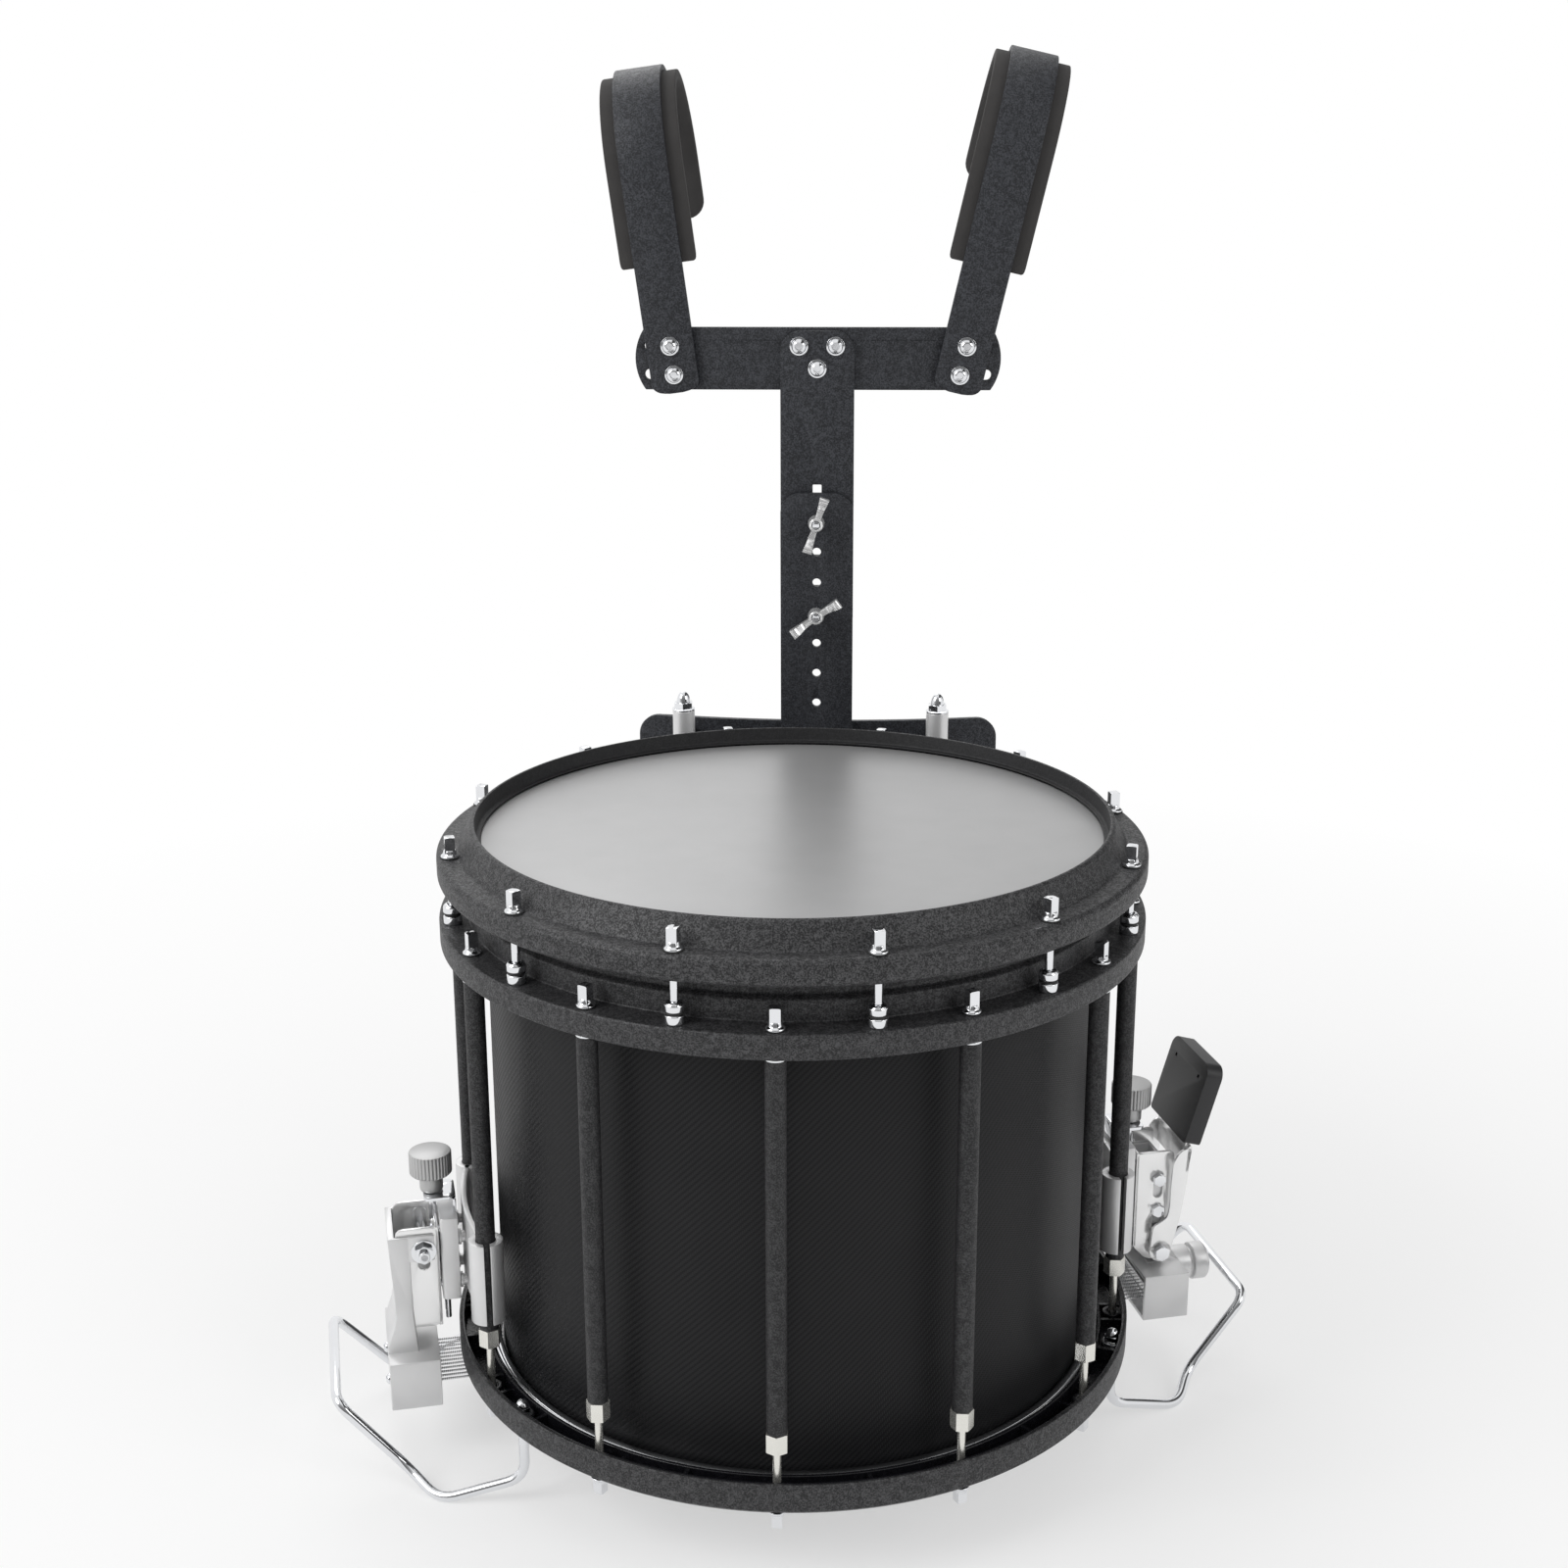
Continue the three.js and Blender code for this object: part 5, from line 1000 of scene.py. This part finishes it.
spine = {"half": 24.3, "corner": 13, "foot": -29.2, "start": 100, "pitch": 20.8}
holeHeight = lambda index: spine["foot"] + spine["start"] + index * spine["pitch"]
squareHole = lambda z: rounded([(-3, z - 3), (3, z - 3), (3, z + 3), (-3, z + 3)], 0.8)
upperShape = roundBox(spine["half"], holeHeight(3) - 10.8, cross["top"] - 2, spine["corner"] / 2, spine["corner"])
squareHoles = [squareHole(holeHeight(i)) for i in (4, 5, 7)]
upperForm = softened(standing(upperShape, layer["rear"], layer["rearFace"], squareHoles), 0.5)
lowerShape = roundBox(spine["half"], spine["foot"], holeHeight(6) + 18.7, spine["corner"] / 2, spine["corner"])
roundHoles = [circle(0, holeHeight(i), 2.9) for i in range(7)]
lowerForm = softened(standing(lowerShape, 0, layer["plate"], roundHoles), 0.5)


carrierBolt = {"washer": 6.1, "thick": 0.9, "head": 5, "rise": 2.9, "spine": ((-12, 310), (12, 310), (0, 295.5))}


# A bolt with a button head and washer in front of face, seen from -Y
def frontBolt(x, z, face):
    washer, thick = carrierBolt["washer"], carrierBolt["thick"]
    washer = latheForm(rounded([(0, 0), (washer, 0), (washer, thick), (0, thick)], 0.25, False), 32)
    head = placed(screwForm(carrierBolt["head"], carrierBolt["rise"]), shift(z=thick))
    return placed(joined(washer, head), shift(x, face, z) @ spin(90, "X"))


wingNut = {"standOff": 7.5, "holes": (3, 6), "turns": (-35, -72)}  # holes counted from the foot
carriageForms = [frontBolt(x, z, layer["rear"]) for x, z in carrierBolt["spine"]]
for index in wingNut["holes"]:
    shaft = postForm(2.4, -wingNut["standOff"] - 10, layer["rearFace"], 0.4, 20)
    cap = latheForm(rounded([(0, 8), (5.6, 8), (5.6, 9), (3.4, 11.2), (0, 11.6)], 0.6, False), 32)
    carriageForms.append(placed(joined(shaft, cap), shift(0, 0, holeHeight(index)) @ layAlongY))
addPiece("upper_spine_plate", "drum",
         [(upperForm, "carrierCoat"), (joined(*carriageForms), "chrome")], harnessPlace, ["upper_spine"])
addPiece("lower_spine_plate", "drum", [(lowerForm, "carrierCoat")], harnessPlace, ["lower_spine"])


# Wing nut: a domed hub with two paddles that thicken to their tips
def wingForms():
    hub = latheForm(rounded([(2.8, -0.3), (5.6, -0.3), (5.6, -2), (4.4, -9.3), (2.8, -9.3)], 0.7), 32, True)
    side = [(1.8, 0.4), (11, 4), (17.4, 6), (19.5, 9.6), (19, 13.6), (16.6, 14.5), (14, 13.2), (10.6, 8.2),
            (1.8, 7.4)]
    forms = [hub]
    for bearing in (0, 180):
        paddle = plateForm(rounded(side, 2.4, steps=4), -1.2, 1.2)
        bmesh.ops.subdivide_edges(paddle, edges=paddle.edges, cuts=1, use_grid_fill=False)
        for corner in paddle.verts:
            corner.co.z *= 1.6 + 1.1 * max(0, (corner.co.x - 4) / 15) ** 1.5
        paddle = softened(paddle, 0.9, 3, 50)
        forms.append(placed(paddle, spin(bearing) @ shift(z=-0.3) @ spin(-90, "X")))
    return forms


for name, index, bearing in zip(("lower", "upper"), wingNut["holes"], wingNut["turns"]):
    addPiece("wing_nut_cast_" + name, "wing_" + name, [(joined(*wingForms()), "polished")],
             harnessPlace @ shift(0, -wingNut["standOff"], holeHeight(index)) @ spin(bearing, "Y") @ layAlongY,
             ["wing_nut_" + name], 40)

# Shoulder bars and foam pads follow one line: up, over the shoulder in a half circle, and down
hook = {"foot": 279.3, "bend": 63.5, "place": 95.5, "width": 31.5}
hookArc = math.pi * hook["bend"]
hookPivot = sum(cross["heights"]) / 2


# A point of a hook's strip, leaning as a whole about the middle of its bolts
def onHook(side, lean, rise, x, depth, along):
    angle = min(max(along - rise, 0) / hook["bend"], math.pi)
    beyond = max(along - rise - hookArc, 0)
    radius = hook["bend"] - depth
    y = layer["middle"] + hook["bend"] - radius * math.cos(angle)
    up = hook["foot"] + min(along, rise) + radius * math.sin(angle) - beyond - hookPivot
    bearing = math.radians(lean)
    return (side * hook["place"] + x * math.cos(bearing) + up * math.sin(bearing), y,
            hookPivot - x * math.sin(bearing) + up * math.cos(bearing))


# A closed strip: sections of (x, depth) points set along the hook, each with its own share
def hookStrip(side, lean, rise, sections):
    form = bmesh.new()
    rings = [[form.verts.new(onHook(side, lean, rise, x, depth, along)) for x, depth in points]
             for along, points in sections]
    count = len(rings[0])
    for one, two in zip(rings, rings[1:]):
        for k in range(count):
            form.faces.new((one[k], one[(k + 1) % count], two[(k + 1) % count], two[k]))
    form.faces.new(rings[0])
    form.faces.new(rings[-1])
    bmesh.ops.recalc_face_normals(form, faces=form.faces)
    return form


def barSection(half, thick, edge=0.7):
    return rounded([(-half, -thick / 2), (half, -thick / 2), (half, thick / 2), (-half, thick / 2)], edge, steps=2)


def padSection(half, thin, thick, fill):
    points = []
    for i in range(25):
        share = -1 + i / 12
        crown = thin + (thick - thin) * (1 - 0.38 * abs(share) ** 5) * fill
        points.append((share * half, crown))
    low = [(share * half, thin) for share in (1, 0.5, 0, -0.5, -1)]
    return rounded(points + low, 0.9, steps=2)


def alongStops(start, end, step):
    count = max(1, round((end - start) / step))
    return [start + (end - start) * i / count for i in range(count + 1)]


def shoulderForms(side, lean, rise, tail):
    barLength = rise + hookArc + tail
    sections = []
    for height, share in ((0, 0.3), (0.5, 0.52), (1.2, 0.7), (2.2, 0.82), (3.6, 0.92), (5.2, 0.98), (7, 1)):
        sections.append((height, barSection(hook["width"] / 2 * share, layer["plate"])))
    stops = alongStops(7, rise, 20)[1:] + alongStops(rise, rise + hookArc, 4)[1:]
    stops += [barLength - 9]
    sections += [(stop, barSection(hook["width"] / 2, layer["plate"])) for stop in stops]
    for back, share in ((6, 0.97), (3.5, 0.88), (1.6, 0.74), (0.5, 0.55), (0, 0.35)):
        sections.append((barLength - back, barSection(hook["width"] / 2 * share, layer["plate"])))
    bar = hookStrip(side, lean, rise, sections)
    bolts = []
    for height in cross["heights"]:
        x = side * hook["place"] + math.tan(math.radians(lean)) * (height - hookPivot)
        bolts.append(frontBolt(x, height, layer["rear"]))
        bolts.append(lying(postForm(3, layer["middle"], layer["crossBack"] + 6.5, 0.4, 20), x, height))
        bolts.append(lying(nutForm(6, 4.3, layer["crossBack"] + 0.3, layer["crossBack"] + 4.8), x, height))
    pad = {"half": 25, "start": 82.5, "end": barLength + 8, "thick": 9.5, "corner": 12}
    padParts = []
    for back, share, fill in ((0, 0.93, 0.72), (0.7, 0.97, 0.86), (2, 0.99, 0.95), (4.5, 1, 1)):
        padParts.append((pad["start"] + back, padSection(pad["half"] * share, 2.3, 2.3 + pad["thick"], fill)))
    for stop in alongStops(pad["start"] + 4.5, pad["end"] - pad["corner"], 5)[1:]:
        padParts.append((stop, padSection(pad["half"], 2.3, 2.3 + pad["thick"], 1)))
    for i in range(1, 8):
        angle = math.radians(90 * i / 7)
        share = 1 - pad["corner"] / pad["half"] * (1 - math.cos(angle))
        padParts.append((pad["end"] - pad["corner"] * (1 - math.sin(angle)),
                         padSection(pad["half"] * share, 2.3, 2.3 + pad["thick"], 1 if i < 7 else 0.8)))
    return bar, bolts, hookStrip(side, lean, rise, padParts)


for name, side, lean, rise, tail in (("left", -1, -7.6, 142.5, 28), ("right", 1, 12.9, 155.5, 15)):
    bar, bolts, pad = shoulderForms(side, lean, rise, tail)
    body = "shoulder_" + name
    addPiece("shoulder_bar_bent_" + name, body, [(bar, "carrierCoat"), (joined(*bolts), "chrome")],
             harnessPlace, ["shoulder_bar_" + name], 50)
    padPiece = addPiece("shoulder_foam_" + name, body, [(pad, "foam")], harnessPlace,
                        ["shoulder_pad_" + name], 60)

# Belly plate, bent round the player, with its foam and the hook rods
belly = {"radius": 528, "half": 125, "bottom": -39.2, "height": 96, "corner": 14, "foam": 11}


def bentPlate(half, low, high, corner, front, back, edge):
    form = softened(standing(roundBox(half, low, high, corner, corner, 10), front, back), edge, 3)
    for i in range(-12, 13):
        bmesh.ops.bisect_plane(form, geom=form.verts[:] + form.edges[:] + form.faces[:],
                               plane_co=(i * half / 12.5, 0, 0), plane_no=(1, 0, 0))
    for vertex in form.verts:
        x, depth = vertex.co.x, vertex.co.y
        angle = x / belly["radius"]
        radius = belly["radius"] - depth
        vertex.co.x = radius * math.sin(angle)
        vertex.co.y = layer["rear"] + belly["radius"] - radius * math.cos(angle)
    bmesh.ops.recalc_face_normals(form, faces=form.faces)
    return form


top = belly["bottom"] + belly["height"]
plateBent = bentPlate(belly["half"], belly["bottom"], top, belly["corner"], 0, 4, 0.6)
foamBent = bentPlate(belly["half"] - 3, belly["bottom"] + 3, top - 3, belly["corner"] - 2, 4.3,
                     4.3 + belly["foam"], 2.4)
hookRod = {"inset": 28, "reach": 43, "radius": 4, "sleeve": 7.4, "sleeveLow": top - 29, "sleeveHigh": top + 15.7}
hookSide = boltRadius * math.sin(math.radians(stationStep)) - 13.4
sleeves = []
for x in (-3.3 - hookSide, -3.3 + hookSide):
    sleeve = washerForm(4.2, hookRod["sleeve"], hookRod["sleeveLow"], hookRod["sleeveHigh"], 0.6)
    sleeves.append((placed(sleeve, shift(x, -hookRod["inset"])), "satin"))
    webPlate = softened(slabForm(x - 4, x + 4, -hookRod["inset"] + 4.6, 14, hookRod["sleeveLow"], top - 7), 0.5)
    sleeves.append((webPlate, "carrierCoat"))
addPiece("belly_plate_bent", "drum", [(plateBent, "carrierCoat"), *sleeves], harnessPlace,
         ["belly_plate"])
foamPiece = addPiece("belly_foam", "drum", [(foamBent, "foam")], harnessPlace, ["belly_pad"], 60)

for name, x in (("left", -3.3 - hookSide), ("right", -3.3 + hookSide)):
    nutLow = hookRod["sleeveHigh"] + 0.3
    route = [(x, -hookRod["inset"], nutLow + 1), (x, -hookRod["inset"], -4.3),
             (x, -hookRod["inset"] - hookRod["reach"], -4.3)]
    nut = placed(domedNut(5.8, nutLow, nutLow + 5, 4.6, nutLow + 12.4), shift(x, -hookRod["inset"]))
    washer = placed(washerForm(4.1, 7.6, nutLow - 0.2, nutLow + 0.8, 0.2), shift(x, -hookRod["inset"]))
    addPiece("hook_rod_chrome_" + name, "hook_" + name,
             [(joined(wireForm(route, 8, hookRod["radius"], 24), nut, washer), "chrome")], harnessPlace,
             ["hook_rod_" + name], 50)
print("carrier made")

# Floor, world and lamps
room = {
    "floorSize": 14, "floor": (0.88, 0.88, 0.88), "nearGlow": 0.5, "nearReach": 0.35, "fade": 0.9, "ambient": 0.6,
    "lamps": [
        {"name": "key", "place": (-2.0, -1.3, 2.0), "size": 1.5, "power": 36},
        {"name": "fill", "place": (1.9, -1.3, 1.5), "size": 1.3, "power": 12},
        {"name": "back", "place": (-0.6, 1.7, 2.2), "size": 1.6, "power": 14},
    ],
}
floorPaint = Paint("paleFloor")
rays = floorPaint.node("ShaderNodeLightPath")
seen = [Wire(floorPaint, rays.socket.node.outputs[name])
        for name in ("Is Camera Ray", "Is Glossy Ray", "Is Transmission Ray")]
straight = seen[0].maths("MAXIMUM", seen[1]).maths("MAXIMUM", seen[2])
mottle = floorPaint.noise(floorPaint.place(), 3, 2)
mottled = floorPaint.blend(mottle, [part * 0.99 for part in room["floor"]], room["floor"])
floorPaint.finish(Base_Color=mottled, Roughness=0.9)
glow = floorPaint.node("ShaderNodeEmission", None, {"Color": (1, 1, 1), "Strength": 1.0})
# The floor glows white away from the object, and near it shows the shadow
reach = floorPaint.node("ShaderNodeVectorMath", {"operation": "LENGTH"}, [floorPaint.place()], 1)
glowShare = ((reach - room["nearReach"]) / room["fade"]).maths("MAXIMUM", 0.0).maths("MINIMUM", 1.0)
mixer = floorPaint.node("ShaderNodeMixShader", None, [
    straight * (glowShare * (1 - room["nearGlow"]) + room["nearGlow"]),
    Wire(floorPaint, floorPaint.shader.outputs[0]), glow])
floorPaint.tree.links.new(mixer.socket, floorPaint.tree.nodes["Material Output"].inputs["Surface"])
floorMesh = bpy.data.meshes.new("floor")
half = room["floorSize"] / 2
floorMesh.from_pydata([(-half, -half, 0), (half, -half, 0), (half, half, 0), (-half, half, 0)], [], [(0, 1, 2, 3)])
floorMesh.materials.append(floorPaint.holder)
floor = bpy.data.objects.new("floor", floorMesh)
bpy.context.scene.collection.objects.link(floor)

sky = Paint("studio", world=True)
rays = sky.node("ShaderNodeLightPath")
seen = [Wire(sky, rays.socket.node.outputs[name])
        for name in ("Is Camera Ray", "Is Transmission Ray", "Is Glossy Ray")]
sides = sky.node("ShaderNodeSeparateXYZ", None, [sky.node("ShaderNodeTexCoord", output="Generated")]).socket.node
across, along = [Wire(sky, sides.outputs[i]) * 0.5 + 0.5 for i in (0, 1)]
screens = sky.ramp(along, (0.0, 0.16), (0.13, 0.35), (0.3, 0.95), (1, 1))  # darker behind the camera
# A dark screen on the right
panel = sky.ramp(across, (0.0, 1), (0.66, 1), (0.74, 0.06), (0.88, 0.06), (0.95, 0.9))
reflected = screens.maths("MINIMUM", panel)
direct = seen[0].maths("MAXIMUM", seen[1])
level = direct + (1 - direct) * (seen[2] * reflected + (1 - seen[2]) * room["ambient"])
background = sky.tree.nodes["Background"]
sky.feed(background.inputs["Color"], (1, 1, 1))
sky.feed(background.inputs["Strength"], level)
bpy.context.scene.world = sky.holder

for lamp in room["lamps"]:
    light = bpy.data.lights.new(lamp["name"], "AREA")
    light.size = lamp["size"]
    light.energy = lamp["power"]
    holder = bpy.data.objects.new(lamp["name"], light)
    aim = Vector((0, -0.05, 0.35)) - Vector(lamp["place"])
    holder.matrix_world = Matrix.Translation(lamp["place"]) @ aim.to_track_quat("-Z", "Y").to_matrix().to_4x4()
    bpy.context.scene.collection.objects.link(holder)
print("stage set")

bpy.context.view_layer.update()
